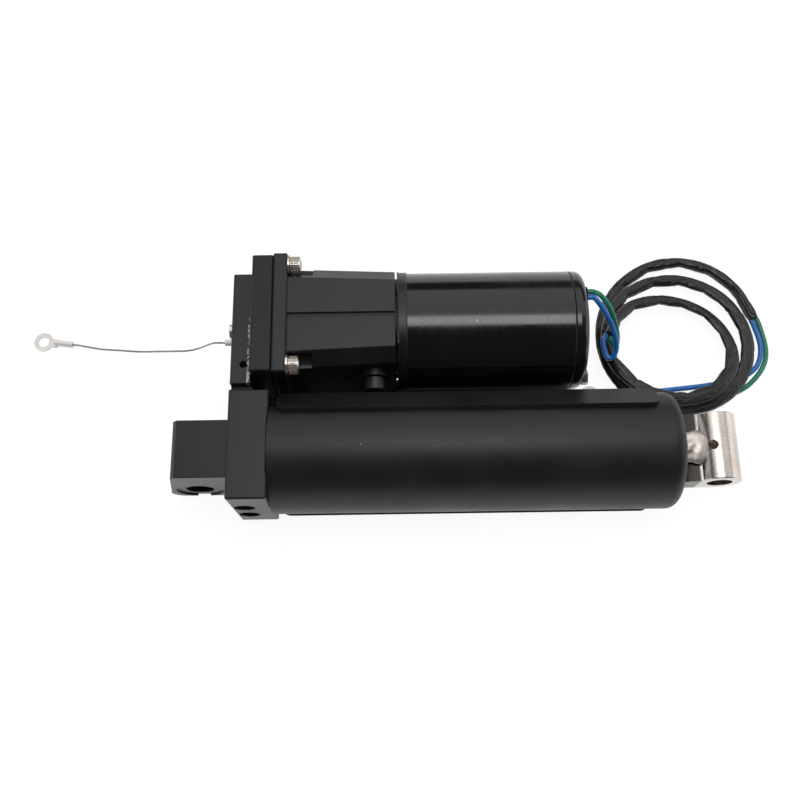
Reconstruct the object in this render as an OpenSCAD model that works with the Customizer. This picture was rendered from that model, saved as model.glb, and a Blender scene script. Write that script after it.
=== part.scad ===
// Power trim and tilt unit: a single ram with its pump, fluid reservoir and motor beside it.
// X runs along the ram towards the rod eye, Z is up as the unit lies, and the origin is the
// centre of the lower pivot bore. Modules build in the ram's own frame, whose X starts at the
// manifold's left face and whose Y and Z are zero on the ram's axis.

/* [Cylinder tube] */
// Outside diameter of the tube
tube_d = 66; // [64:0.5:70]
// Bore of the tube
bore_d = 48; // [46:0.5:49]
// Length of the tube from the manifold to its nose
tube_l = 227.4; // [200:1:260]
// Radius that rounds the nose
nose_r = 7; // [4:0.5:7.5]
// Width of each gallery rib's flat
rib_w = 17; // [12:0.5:20]
// Height of a rib's flat above the tube
rib_rise = 2.4; // [1.5:0.1:3.5]
// Bare tube left between the manifold and a rib
rib_gap = 4; // [2:0.5:8]
// Bare tube left between a rib and the nose
rib_stop = 13; // [9:0.5:20]
// Angle of the ribs, from up towards the motor
rib_tilt = 45; // [35:1:52]
// Diameter of the oil gallery in the upper rib
gallery_d = 5; // [3:0.5:5.5]

/* [Ram] */
// Diameter of the rod
rod_d = 18; // [16:0.5:20]
// Diameter of the rod's stem through the piston
stem_d = 12; // [10:0.5:13]
// Length of the piston
piston_l = 20; // [16:0.5:24]
// Length of the memory piston
memory_l = 14; // [12:0.5:18]
// Height of the piston nut
nut_h = 8; // [6:0.5:10]
// Size of the piston nut across its flats
nut_w = 19; // [17:0.5:21]
// Length of the gland
gland_l = 34; // [30:0.5:40]
// Length of the gland's threaded head
gland_head_l = 14.5; // [12:0.5:18]
// Depth of the gland's face below the tube's end
gland_sink = 1.5; // [0.5:0.5:3]
// Outside diameter of the rod eye
eye_d = 24.2; // [22:0.1:26]
// Length of the rod eye
eye_l = 38.6; // [34:0.1:40]
// Bore of the rod eye
eye_bore_d = 14; // [12:0.5:16]
// Distance from the tube's end to the rod eye's axis
eye_reach = 23.9; // [22:0.1:30]
// Diameter of the rod eye's cross hole
eye_hole_d = 5.4; // [4:0.1:6.5]
// Lean of the cross hole back towards the tube
eye_hole_tilt = 22; // [0:1:35]

/* [Manifold] */
// Thickness of the block along the ram
block_t = 21.9; // [20:0.1:26]
// Width of the block
block_w = 61.5; // [58:0.5:64]
// Height of the block above the ram's axis
block_up = 29; // [27:0.5:32]
// Depth of the block below the ram's axis
block_down = 31.5; // [29:0.5:33]
// Length of the pivot lug at its top
lug_l = 32.6; // [31:0.1:36]
// Width of the pivot lug
lug_w = 32.8; // [28:0.1:38]
// Height of the lug above the ram's axis
lug_up = 18; // [14:0.5:22]
// Depth of the lug below the ram's axis
lug_down = 28; // [27.5:0.5:31]
// How far the lug's end leans out towards its foot
lug_lean = 6.8; // [3:0.2:8]
// Bore of the lower pivot
pivot_d = 16; // [14:0.5:18]
// Distance of the lower pivot behind the block
pivot_back = 22; // [21:0.5:24]
// Depth of the lower pivot below the ram's axis
pivot_drop = 15; // [12:0.5:16]
// Thickness of the pump plate
plate_t = 11.8; // [10:0.1:14]
// Height of the pump plate above the ram's axis
plate_up = 26.8; // [25:0.1:28]
// Depth of the pump plate below the ram's axis
plate_down = 29; // [25:0.5:31]
// Reach of the pump plate past the motor's axis
plate_past = 27.5; // [25:0.5:32]
// Width of the groove between the block and the plate's top
groove_w = 4; // [2:0.5:6]
// Diameter of the two bores in the block's front face
port_d = 12; // [10:0.5:12]
// Distance of those bores from the block's left face
port_x = 7.2; // [7:0.1:9]
// Height of the release valve's bore above the ram's axis
valve_z = 4.5; // [3:0.5:8]
// Depth of the plugged bore below the ram's axis
plug_drop = 14.6; // [12:0.2:17]

/* [Pump] */
// Distance from the ram's axis to the motor's axis
motor_y = 73.4; // [73:0.2:80]
// Height of the motor's axis above the ram's axis
motor_z = 1.4; // [0:0.2:3]
// Thickness of the pump body
pump_t = 12; // [11.5:0.1:15]
// Width and height of the pump body
pump_w = 69.8; // [69:0.2:72]
// Number of teeth on each pump gear
teeth = 12; // [12:1:13]
// Module of the pump gears
tooth_module = 1.25; // [1.1:0.05:1.3]
// Length of the pump gears
gear_l = 8; // [6:0.5:8.5]
// Diameter of the pump and motor shafts
shaft_d = 8; // [7:0.5:8]
// Thickness of the pump cover
cover_t = 8; // [7:0.5:9]
// Diameter of the pump cover
cover_d = 53; // [52:0.5:54]

/* [Reservoir] */
// Thickness of the reservoir's flange
flange_t = 7.9; // [6:0.1:10]
// Width and height of the reservoir's flange
flange_w = 71.2; // [70:0.2:74]
// Length of the tapered body
taper_l = 61.6; // [56:0.2:70]
// Half height of the body, from the motor's axis to its flat top
body_up = 33; // [31.5:0.5:34]
// Half width of the body at the flange
body_side = 30.3; // [29.5:0.1:31.5]
// Half width of the body at the collar
body_side_end = 27.5; // [27:0.1:29.5]
// Distance from the axis to the bevelled corners at the flange
corner_reach = 38.6; // [37:0.1:39.5]
// Distance from the axis to the bevelled corners at the collar
corner_reach_end = 36.8; // [35.5:0.1:38]
// Thickness of the round collar
collar_t = 5.6; // [4:0.1:8]
// Diameter of the round collar
collar_d = 70; // [69.4:0.1:72]
// Distance of the flange screws from the motor's axis, both ways
screw_off = 30; // [29:0.1:31]
// Distance of the fill plug's axis short of the collar
fill_back = 13.3; // [12:0.1:18]
// Height of the fill plug's axis above the motor's axis
fill_up = 8.6; // [4:0.2:10]

/* [Motor] */
// Outside diameter of the motor can
can_d = 68.8; // [67.5:0.1:69.2]
// Length of the motor can
can_l = 94.1; // [92:0.1:110]
// Wall of the motor can
can_wall = 2; // [1.5:0.1:2.4]
// Length of the end cap outside the can
cap_l = 7.8; // [7:0.1:10]
// Radius that rounds the end cap's rim
cap_r = 5; // [3:0.5:5.5]
// Diameter of the armature core
core_d = 49; // [46:0.5:50]
// Length of the armature core
core_l = 42; // [36:1:42]
// Number of slots in the armature core
slots = 12; // [10:1:14]
// Diameter of the commutator
commutator_d = 24; // [22:0.5:25]

/* [Wires] */
// Diameter of the blue and green wires
wire_d = 3.2; // [2.5:0.1:3.4]
// Diameter of the harness sleeve
sleeve_d = 6.6; // [5.6:0.1:6.8]
// Diameter of the bonding wire
bond_d = 1.2; // [0.8:0.1:1.6]
// Outside diameter of the ring terminals
ring_d = 12; // [10:0.5:13]
// Hole of the ring terminals
ring_hole_d = 6.6; // [5:0.1:7]

/* [Hidden] */
$fn = 64;

// Clearances and small sizes that many pieces share
over = 1;
fit = 0.05;
seat_gap = 0.3;
edge = 0.8;
fine_edge = 0.5;
seal_d = 2.5;

// Places along the ram
tube_x = block_t;
tube_end = tube_x + tube_l;
spigot_l = 10;
spigot_end = tube_x + spigot_l;
memory_x = spigot_end + seat_gap;
piston_x = memory_x + memory_l + seat_gap;
piston_end = piston_x + piston_l;
gland_end = tube_end - gland_sink;
gland_x = gland_end - gland_l;
thread_wall = 1;
rib_corner_r = 5;
eye_x = tube_end + eye_reach;
stroke = gland_x - piston_end - seat_gap;
echo(stroke = stroke);

// Places along the pump and motor
pump_x = plate_t;
flange_x = pump_x + pump_t;
body_x = flange_x + flange_t;
collar_x = body_x + taper_l;
can_x = collar_x + collar_t;
cap_x = can_x + can_l;
cap_end = cap_x + cap_l;
can_bore_r = can_d / 2 - can_wall;

// Fixed details of the manifold
spot_r = 13.5;
spot_t = 1;
lug_bevel = 2.5;
lug_corner = 8;
groove_deep = 6;
port_deep = 26;
plug_deep = 15;
valve_sink = 5;
valve_head_l = 6;
valve_stem_d = 8;
valve_stem_l = 12;
valve_tip_l = 3;
clip_t = 1;
clip_sink = 3;
clip_bite = 0.6;
clip_w = 1.8;
feed_d = 5;
feed_y = 8;
top_hole_d = 4;
top_hole_deep = 9;
top_hole_y = 15;
nick_r = 1.8;
nick_deep = 4;
nick_y = 7.5;
seal_squeeze = 0.5;
groove_bar = seal_d - seal_squeeze;
face_seal_t = 2;
face_seal_shares = [0.44, 0.75];

// Pump gears: the centre distance and the tooth's own radii
pitch_r = teeth * tooth_module / 2;
tip_r = pitch_r + tooth_module;
root_r = pitch_r - 1.25 * tooth_module;
press_angle = 20;
backlash = 0.1;
gear_gap = 2 * pitch_r + 2 * fit;
pocket_l = gear_l + 2 * fit;
gear_x = flange_x - fit - gear_l;
pump_back_wall = 1.4;
journal_l = pump_t - pocket_l - pump_back_wall;
idler_wall = 2;
idler_l = cover_t - idler_wall;
passage_d = 3;
passage_y = 5.5;

// Pump cover screws
pump_screw_d = 4;
pump_screw_y = 16;
pump_screw_up = 9;
pump_screw_down = 16;
pump_screw_bite = 8;
pump_screw_places = [for (y = [-pump_screw_y, pump_screw_y]) for (z = [pump_screw_up,
    -pump_screw_down]) [y, z]];

// Shuttle and relief bores inside the pump plate
valve_bore_d = 8;
valve_line_x = plate_t / 2;
shuttle_z = motor_z - pitch_r;
relief_z = shuttle_z - 1.95 * valve_bore_d;
spool_l = 14;
spool_travel = 1.5;
seat_l = 3;
seat_hole_d = 4;
ball_d = 6;
ball_set = sqrt(pow(ball_d / 2, 2) - pow(seat_hole_d / 2, 2));
spring_l = 5;
spring_wire = 0.8;
spring_d = ball_d - spring_wire;
spring_turns = 4;
plug_key_l = 3;
spool_pin_d = 2.4;
seat_x = spool_l / 2 + spool_travel + 2 * fit;
ball_x = seat_x + seat_l + ball_set;
spring_stop = ball_x + ball_d / 2 + spring_l;
pin_reach = ball_x - ball_d / 2 - spool_travel - 2 * fit;

// Reservoir inside
cavity_gap = 1;
cavity_d = cover_d + 2 * cavity_gap;
function face_seal_r(i) = cavity_d / 2 + face_seal_shares[i] * (flange_w - cavity_d) / 2;
cavity_step_l = 6;
cavity_wall = 3;
end_wall = 5;
relief_r = 6.8;
relief_l = 14;
step_deep = 1;
step_groove_w = 2.2;
step_groove_deep = 1.7;
neck_w = 1.1;
neck_deep = 1.6;
seal_pocket_d = 22;
shaft_seal_l = 6;
bearing_l = 7;
boss_wall = 4;
boss_l = 8;
pilot_l = 2.5;
fill_boss_d = 17;
fill_boss_out = 1.4;
fill_thread_d = 10;
fill_thread_l = 4;
fill_head_d = 13;
fill_head_l = 7.6;
slot_w = 1.6;
slot_deep = 1.8;

// Flange screws and washers
flange_screw_d = 6;
flange_head_d = 10;
flange_head_l = 6;
flange_screw_bite = 10;
flange_key = 5;
flange_key_deep = 3;
washer_d = 12;
washer_t = 1.2;

// Armature
winding_l = 8;
winding_gap = 3;
winding_x = can_x + boss_l + winding_gap;
core_x = winding_x + winding_l;
commutator_gap = 2;
commutator_x = core_x + core_l + winding_l + commutator_gap;
commutator_l = 12;
slot_depth = 8;
slot_width = 5;
slot_mouth = 2;
cap_wall = 4;
shaft_end = cap_end - cap_wall;
coupling_l = 16;
coupling_d = 14;
coupling_x = (flange_x + cover_t + can_x - coupling_l) / 2;
air_gap = 2.7;
magnet_t = can_bore_r - core_d / 2 - air_gap;
magnet_span = 124;
brush_x = commutator_x + commutator_l / 2;
brush_w = 6;
brush_b = 7;
brush_l = 9;
brush_gap = 0.1;
guide_wall = 1.2;
brush_spring_l = 5;
card_t = 2;
card_gap = 1.5;
card_x = commutator_x + commutator_l + card_gap;
bushing_l = 7;
bushing_d = 14;
cap_spigot_l = 4;
bolt_d = 5;
bolt_inset = 3;
bolt_off = can_bore_r - bolt_inset;
bolt_head_w = 8;
bolt_head_l = 3.5;
bolt_sink = 1.5;
bolt_bite = 7;
grommet_d = 9.2;
grommet_l = 1.2;
grommet_neck_d = 7.6;
grommet_inset = 6.6;
grommet_off = can_bore_r - grommet_inset;
grommet_tilt = 29.5;

// Ground that the unit and its wires lie on: the lower washers touch it
ground_z = motor_z - screw_off - washer_d / 2;

// Shapes along an axis
module along_x(x) { translate([x, 0, 0]) rotate([0, 90, 0]) children(); }
module rod_x(x, d, l) { along_x(x) cylinder(d = d, h = l); }
module cone_x(x, d, d_end, l) { along_x(x) cylinder(d1 = d, d2 = d_end, h = l); }
module rod_y(y, d, l) { translate([0, y, 0]) rotate([-90, 0, 0]) cylinder(d = d, h = l); }
module ring_x(x, d_out, d_in, l) {
    difference() {
        rod_x(x, d_out, l);
        rod_x(x - over, d_in, l + 2 * over);
    }
}
module hex_x(x, w, l) { along_x(x) cylinder(d = w / cos(30), h = l, $fn = 6); }
module pump_axis() { translate([0, motor_y, motor_z]) children(); }
module placed() { translate([pivot_back, 0, pivot_drop]) children(); }

// Rod with bevelled ends, along X
module bevel_rod_x(x, d, l, bevel) {
    cone_x(x, d - 2 * bevel, d, bevel);
    rod_x(x + bevel, d, l - 2 * bevel);
    cone_x(x + l - bevel, d, d - 2 * bevel, bevel);
}

// Rectangle with bevelled corners, from one corner
module bevel_rect(a, b, bevel) {
    polygon([[bevel, 0], [a - bevel, 0], [a, bevel], [a, b - bevel],
        [a - bevel, b], [bevel, b], [0, b - bevel], [0, bevel]]);
}

// Box with all its edges bevelled, from one corner
module bevel_box(size, bevel) {
    intersection() {
        linear_extrude(size.z) bevel_rect(size.x, size.y, bevel);
        translate([0, size.y, 0]) rotate([90, 0, 0]) linear_extrude(size.y) bevel_rect(size.x, size.z,
            bevel);
        rotate([90, 0, 90]) linear_extrude(size.x) bevel_rect(size.y, size.z, bevel);
    }
}

// Rounded rectangle centred on its width, from x = 0
module soft_rect(l, w, r) {
    translate([r, -w / 2]) square([l - 2 * r, w]);
    translate([0, r - w / 2]) square([l, w - 2 * r]);
    for (x = [r, l - r]) for (y = [r - w / 2, w / 2 - r]) translate([x, y]) circle(r);
}

// Socket head screw along X: its head's underside is at x and it points back along X
module cap_screw(x, d, l, head_d, head_l, key, key_deep) {
    difference() {
        union() {
            rod_x(x - l, d, l);
            bevel_rod_x(x, head_d, head_l, fine_edge);
        }
        hex_x(x + head_l - key_deep, key, key_deep + over);
    }
}

// Round tube swept along points: sections keep their turn from one to the next
function unit(v) = v / norm(v);
function heading(p, i) = unit(p[min(i + 1, len(p) - 1)] - p[max(i - 1, 0)]);
function turned(n, t) = unit(n - t * (n * t));
function normals(ts, ns) = len(ns) == len(ts) ? ns
    : normals(ts, concat(ns, [turned(ns[len(ns) - 1], ts[len(ns)])]));
module swept(p, d, sides) {
    n = len(p);
    ts = [for (i = [0 : n - 1]) heading(p, i)];
    first = turned(abs(ts[0].z) < 0.9 ? [0, 0, 1] : [1, 0, 0], ts[0]);
    ns = normals(ts, [first]);
    rings = [for (i = [0 : n - 1]) let (b = cross(ts[i], ns[i]))
        for (k = [0 : sides - 1]) let (a = 360 * k / sides)
            p[i] + d / 2 * (cos(a) * ns[i] + sin(a) * b)];
    last = (n - 1) * sides;
    walls = [for (i = [0 : n - 2]) for (k = [0 : sides - 1])
        let (a = i * sides + k, b = i * sides + (k + 1) % sides)
            each [[a, a + sides, b], [b, a + sides, b + sides]]];
    caps = [for (k = [1 : sides - 2]) each [[0, k, k + 1], [last, last + k + 1, last + k]]];
    polyhedron(rings, concat(walls, caps));
}

// Points between the hand-chosen ones, on a smooth curve through them
function spline(a, b, c, d, t) = 0.5 * (2 * b + (c - a) * t + (2 * a - 5 * b + 4 * c - d) * t * t
    + (3 * b - a - 3 * c + d) * t * t * t);
function smooth(p, n) = concat([for (i = [0 : len(p) - 2]) for (k = [0 : n - 1])
    spline(p[max(i - 1, 0)], p[i], p[i + 1], p[min(i + 2, len(p) - 1)], k / n)], [p[len(p) - 1]]);

// Reach from a ball's centre to the end of the spring that presses on it
function ball_rest(ball, d, wire) = sqrt(pow((ball + wire) / 2, 2) - pow((d - wire) / 2, 2)) - wire / 2;

// Coil spring along X from x
module spring_x(x, d, l, wire, turns) {
    steps = 8;
    count = steps * turns;
    rise = (l - wire) / count;
    swept([for (i = [0 : count]) [x + wire / 2 + rise * i,
        (d - wire) / 2 * cos(360 * i / steps), (d - wire) / 2 * sin(360 * i / steps)]], wire, 5);
}

// Gallery line inside the upper rib
gallery_wall = 1.6;
gallery_r = tube_d / 2 + rib_rise - gallery_wall - gallery_d / 2;
module at_rib(angle) { rotate([-angle, 0, 0]) children(); }

// Manifold casting: block, pivot lug and pump plate
module lug_side() {
    foot = lug_l + lug_lean;
    polygon([[over, lug_up], [lug_bevel - lug_l, lug_up], [-lug_l, lug_up - lug_bevel],
        [-foot, lug_corner - lug_down], [lug_corner - foot, -lug_down], [over, -lug_down]]);
    translate([lug_corner - foot, lug_corner - lug_down]) circle(lug_corner);
}
module lug() {
    translate([0, lug_w / 2, 0]) rotate([90, 0, 0]) linear_extrude(lug_w) lug_side();
}
module port(z, steps) {
    for (s = steps) translate([port_x, 0, z]) rod_y(-block_w / 2 - over, s[0], s[1] + over);
}
module valve_line(z) {
    far = motor_y + plate_past;
    translate([valve_line_x, 0, z]) rod_y(motor_y - spring_stop, valve_bore_d, far + over - motor_y
        + spring_stop);
}
module manifold() {
    pump_holes = [for (p = pump_screw_places) [motor_y + p[0], motor_z + p[1]]];
    color("#2b2b2c") placed() difference() {
        union() {
            translate([0, -block_w / 2, -block_down])
                bevel_box([block_t, block_w, block_up + block_down], edge);
            lug();
            translate([0, block_w / 2 - block_t, -plate_down])
                bevel_box([plate_t, motor_y + plate_past - block_w / 2 + block_t, plate_up
                    + plate_down], edge);
            rod_x(block_t - over, bore_d - 2 * fit, spigot_l + over);
        }
        translate([-pivot_back, 0, -pivot_drop]) {
            rod_y(-lug_w / 2 - over, pivot_d, lug_w + 2 * over);
            for (y = [-lug_w / 2 - over, lug_w / 2 - spot_t]) rod_y(y, 2 * spot_r, spot_t + over);
        }
        translate([-over, block_w / 2, plate_up - groove_deep])
            cube([plate_t + 2 * over, groove_w, block_up + groove_deep]);
        port(valve_z, [[port_d, valve_sink + valve_head_l], [valve_stem_d + 2 * fit, valve_sink
            + valve_head_l
            + valve_stem_l + fit], [passage_d, port_deep]]);
        translate([port_x, 0, valve_z]) rod_y(-block_w / 2 + clip_sink, port_d + 2 * clip_bite,
            clip_t + fit);
        port(-plug_drop, [[port_d, plug_deep]]);
        translate([0, -feed_y, valve_z]) rod_x(port_x, feed_d, spigot_end);
        at_rib(rib_tilt) translate([0, 0, gallery_r]) rod_x(block_t / 2, gallery_d, block_t);
        translate([port_x, block_w / 2 + top_hole_y, plate_up - top_hole_deep])
            cylinder(d = top_hole_d, h = top_hole_deep + over);
        translate([plate_t, block_w / 2 + top_hole_y + nick_y, plate_up - nick_deep])
            cylinder(r = nick_r, h = nick_deep + over);
        rod_seal_groove(tube_x + spigot_l / 2, bore_d - 2 * fit);
        for (p = pump_holes) translate([0, p[0], p[1]])
            rod_x(plate_t - pump_screw_bite, pump_screw_d + fit, pump_screw_bite + over);
        valve_line(shuttle_z);
        valve_line(relief_z);
        for (y = [-passage_y, passage_y]) translate([0, motor_y + y, shuttle_z])
            rod_x(valve_line_x, passage_d, plate_t);
        translate([0, bond_y, bond_z]) rod_x(-over, bond_screw_d + fit, bond_screw_l + over);
    }
}

// Groove for a seal ring around a shaft along X, centred on x
module rod_seal_groove(x, d) {
    ring_x(x - seal_d / 2 - fit, d + 2 * over, d - 2 * groove_bar, seal_d + 2 * fit);
}
module seal_ring(x, d, bar, l) {
    ring_x(x - l / 2, d, d - 2 * bar + 2 * fit, l);
}

// Cylinder tube with its two opposite gallery ribs
module tube_body() {
    along_x(tube_x) rotate_extrude($fn = 128) {
        square([tube_d / 2, tube_l - nose_r]);
        square([tube_d / 2 - nose_r, tube_l]);
        translate([tube_d / 2 - nose_r, tube_l - nose_r]) circle(nose_r);
    }
}
module rib(angle) {
    at_rib(angle) translate([tube_x + rib_gap, 0, 0]) linear_extrude(tube_d / 2 + rib_rise)
        soft_rect(tube_l - rib_gap - rib_stop, rib_w, rib_corner_r);
}
module cylinder_tube() {
    cross_x = gland_x + gland_neck_l / 2;
    color("#262627") placed() difference() {
        union() {
            tube_body();
            rib(rib_tilt);
            rib(rib_tilt + 180);
        }
        rod_x(tube_x - over, bore_d, tube_l + over - gland_sink - gland_head_l);
        rod_x(gland_end - gland_head_l - fit, bore_d + 2 * thread_wall, tube_l);
        at_rib(rib_tilt) translate([0, 0, gallery_r]) rod_x(tube_x - over, gallery_d, cross_x
            - tube_x + over);
        at_rib(rib_tilt) translate([cross_x - gallery_d / 2, 0, 0]) cylinder(d = gallery_d, h = gallery_r);
    }
}
module tube_seals() {
    gland_seal_x = gland_x + gland_l / 4;
    color("#161616") placed() for (x = [tube_x + spigot_l / 2, gland_seal_x])
        seal_ring(x, bore_d - fit, groove_bar, seal_d);
}

// Gland that closes the tube and guides the rod
seal_bar = 4;
rod_seal_l = 6;
wiper_l = 5;
spanner_d = 4;
gland_neck_l = gallery_d + edge;
gland_neck_in = 1.5;
module gland() {
    color("#8d8f92") placed() difference() {
        union() {
            rod_x(gland_x, bore_d - 2 * gland_neck_in, gland_neck_l + over);
            rod_x(gland_x + gland_neck_l, bore_d - 2 * fit, gland_l - gland_head_l - gland_neck_l + over);
            rod_x(gland_end - gland_head_l, bore_d + 2 * thread_wall - 2 * fit, gland_head_l);
        }
        rod_x(gland_x - over, rod_d + 2 * fit, gland_l + 2 * over);
        rod_seal_groove(gland_x + gland_l / 4, bore_d - 2 * fit);
        rod_x(gland_x + gland_l / 2, rod_d + 2 * seal_bar, rod_seal_l);
        rod_x(gland_end - wiper_l, rod_d + 2 * seal_bar, wiper_l + over);
        for (a = [0, 180]) rotate([a + rib_tilt, 0, 0])
            translate([0, 0, bore_d / 2 - spanner_d]) rod_x(gland_end - wiper_l, spanner_d, wiper_l + over);
    }
}
module rod_seal() {
    color("#1d1d1d") placed()
        ring_x(gland_x + gland_l / 2, rod_d + 2 * seal_bar - fit, rod_d + 2 * fit, rod_seal_l);
}
module rod_wiper() {
    color("#202020") placed() {
        ring_x(gland_end - wiper_l, rod_d + 2 * seal_bar - fit, rod_d + 2 * fit, wiper_l);
        ring_x(gland_end - over, rod_d + seal_bar, rod_d + 2 * fit, over + edge);
    }
}

// Memory piston, hollowed to take the piston nut
module memory_piston() {
    color("#a9abad") placed() difference() {
        bevel_rod_x(memory_x, bore_d - 3 * fit, memory_l, edge);
        rod_x(piston_x - nut_h - seat_gap - over, (nut_w + seat_gap) / cos(30) + over, nut_h + memory_l);
        rod_seal_groove(memory_x + memory_l / 2, bore_d - 3 * fit);
    }
}
module memory_seal() {
    color("#161616") placed() seal_ring(memory_x + memory_l / 2, bore_d - 2 * fit, groove_bar, seal_d);
}

// Piston with its four shock valves, clamped on the rod's stem by the nut
shock_d = 5;
shock_seat_d = 3;
shock_ball_d = 4.4;
shock_spring_l = 7;
shock_count = 4;
ring_bar = 3.4;
ring_l = 4;
shock_off = (bore_d / 2 - ring_bar + stem_d / 2) / 2;
module each_shock() {
    for (i = [0 : shock_count - 1]) rotate([360 * i / shock_count + 45, 0, 0]) translate([0,
        shock_off, 0]) children();
}
shock_seat_l = 4;
shock_ball_x = piston_x + shock_seat_l + sqrt(pow(shock_ball_d / 2, 2) - pow(shock_seat_d / 2, 2));
module piston() {
    color("#b4b6b8") placed() difference() {
        bevel_rod_x(piston_x, bore_d - 3 * fit, piston_l, edge);
        rod_x(piston_x - over, stem_d + fit, piston_l + 2 * over);
        ring_x(piston_x + piston_l / 2 - ring_l / 2 - fit, bore_d + over, bore_d - 2 * ring_bar,
            ring_l + 2 * fit);
        each_shock() {
            rod_x(piston_x - over, shock_seat_d, piston_l + 2 * over);
            rod_x(piston_x + shock_seat_l, shock_d, piston_l);
        }
    }
}
module piston_ring() {
    color("#3a3a3a") placed() ring_x(piston_x + piston_l / 2 - ring_l / 2, bore_d - 2 * fit,
        bore_d - 2 * ring_bar + 2 * fit, ring_l);
}
module shock_balls() {
    color("#c8c8ca") placed() each_shock() translate([shock_ball_x, 0, 0]) sphere(d = shock_ball_d);
}
module shock_springs() {
    d = shock_ball_d - 2 * fit;
    start = shock_ball_x + ball_rest(shock_ball_d, d, spring_wire) + fit;
    color("#9c9c9e") placed() each_shock() spring_x(start, d, shock_spring_l, spring_wire, spring_turns);
}
module piston_nut() {
    color("#8b8d8f") placed() difference() {
        intersection() {
            hex_x(piston_x - nut_h, nut_w, nut_h);
            bevel_rod_x(piston_x - nut_h, nut_w / cos(30), nut_h, edge);
        }
        rod_x(piston_x - nut_h - over, stem_d + fit, nut_h + 2 * over);
    }
}

// Rod, the eye with its shank welded across its end, and the bead between them
shank_gap = 1;
shank_bevel = 2.5;
shank_up_share = 0.15;
shank_top_shares = [0.87, 0.49];
module shank() {
    r = eye_d / 2;
    start = tube_end + shank_gap;
    translate([0, eye_l / 2, 0]) rotate([90, 0, 0]) linear_extrude(eye_l) polygon([[eye_x, -r],
        [start + shank_bevel, -r], [start, shank_bevel - r], [start, r * shank_up_share],
        [eye_x - r * shank_top_shares[0], r * shank_top_shares[1]], [eye_x, 0]]);
}
module eye_solid() {
    translate([eye_x, 0, 0]) rotate([0, 0, 90]) bevel_rod_x(-eye_l / 2, eye_d, eye_l, fine_edge);
    shank();
}
module rod() {
    color("#d6d7d8") placed() difference() {
        union() {
            bevel_rod_x(piston_x - nut_h - seat_gap, stem_d, piston_l + nut_h + over, edge);
            rod_x(piston_end, rod_d, eye_x - piston_end);
        }
        eye_solid();
    }
}
module rod_eye() {
    color("#c9c4c0") placed() difference() {
        eye_solid();
        translate([eye_x, 0, 0]) rod_y(-eye_l / 2 - over, eye_bore_d, eye_l + 2 * over);
        translate([eye_x, 0, 0]) rotate([0, -eye_hole_tilt, 0]) cylinder(d = eye_hole_d, h = eye_d);
    }
}
bead_l = 11.9;
bead_w = 2.8;
bead_shares = [[0, 0], [0.45, 0.12], [0.75, 0.35], [0.85, 0.7], [1, 0.95], [0.8, 1.2], [0, 1.36]];
module weld_bead() {
    toe = eye_x - eye_d / 2 - bead_l + bead_w / 2;
    color("#b8b4b0") placed() difference() {
        along_x(toe) rotate_extrude() translate([rod_d / 2, 0])
            polygon([for (p = bead_shares) [bead_w * p[0], bead_l * p[1]]]);
        eye_solid();
    }
}

// Pump body: a square flange with the gear pocket in its right face
module each_gear() {
    children();
    translate([0, 0, -gear_gap]) children();
}
module pump_body() {
    color("#242425") placed() pump_axis() difference() {
        translate([pump_x, -pump_w / 2, -pump_w / 2]) bevel_box([pump_t, pump_w, pump_w], edge);
        each_gear() rod_x(flange_x - pocket_l, 2 * tip_r + 3 * fit, pocket_l + over);
        each_gear() rod_x(flange_x - pocket_l - journal_l - fit, shaft_d + 2 * fit, pocket_l);
        for (p = pump_screw_places) translate([0, p[0], p[1]])
            rod_x(pump_x - over, pump_screw_d + 4 * fit, pump_t + 2 * over);
        for (y = [-passage_y, passage_y]) translate([0, y, -pitch_r])
            rod_x(pump_x - over, passage_d, pump_t);
        each_corner() rod_x(flange_x - flange_screw_bite, flange_screw_d + fit, pump_t);
    }
}
module each_corner() {
    for (y = [-screw_off, screw_off]) for (z = [-screw_off, screw_off]) translate([0, y, z]) children();
}

// Involute gear outline, a tooth centred on the second axis
base_r = pitch_r * cos(press_angle);
roll_end = sqrt(pow(tip_r / base_r, 2) - 1) * 180 / PI;
function inv_angle(roll) = roll - atan(roll * PI / 180);
function inv_point(roll, side) = let (
        radius = base_r * sqrt(1 + pow(roll * PI / 180, 2)),
        pitch_roll = tan(press_angle) * 180 / PI,
        half = 90 / teeth - backlash / pitch_r * 90 / PI + inv_angle(pitch_roll),
        a = half - inv_angle(roll))
    radius * [sin(side * a), cos(side * a)];
function root_point(side) = let (
        pitch_roll = tan(press_angle) * 180 / PI,
        a = 90 / teeth - backlash / pitch_r * 90 / PI + inv_angle(pitch_roll))
    root_r * [sin(side * a), cos(side * a)];
module gear_outline() {
    steps = 5;
    for (i = [0 : teeth - 1]) rotate(360 * i / teeth) polygon(concat([[0, 0]], [root_point(-1)],
        [for (k = [0 : steps]) inv_point(roll_end * k / steps, -1)],
        [for (k = [steps : -1 : 0]) inv_point(roll_end * k / steps, 1)], [root_point(1)]));
    circle(root_r);
}
module gear_x_axis(turn) {
    along_x(gear_x) rotate(turn) linear_extrude(gear_l) gear_outline();
}
module drive_gear() {
    start = gear_x - journal_l;
    color("#7e8082") placed() pump_axis() {
        gear_x_axis(270);
        bevel_rod_x(start, shaft_d, coupling_x + coupling_l / 2 - start - seat_gap, fine_edge);
    }
}
module driven_gear() {
    start = gear_x - journal_l;
    color("#7e8082") placed() pump_axis() translate([0, 0, -gear_gap]) {
        gear_x_axis(90 + 180 / teeth);
        bevel_rod_x(start, shaft_d, flange_x + idler_l - start, fine_edge);
    }
}
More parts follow.
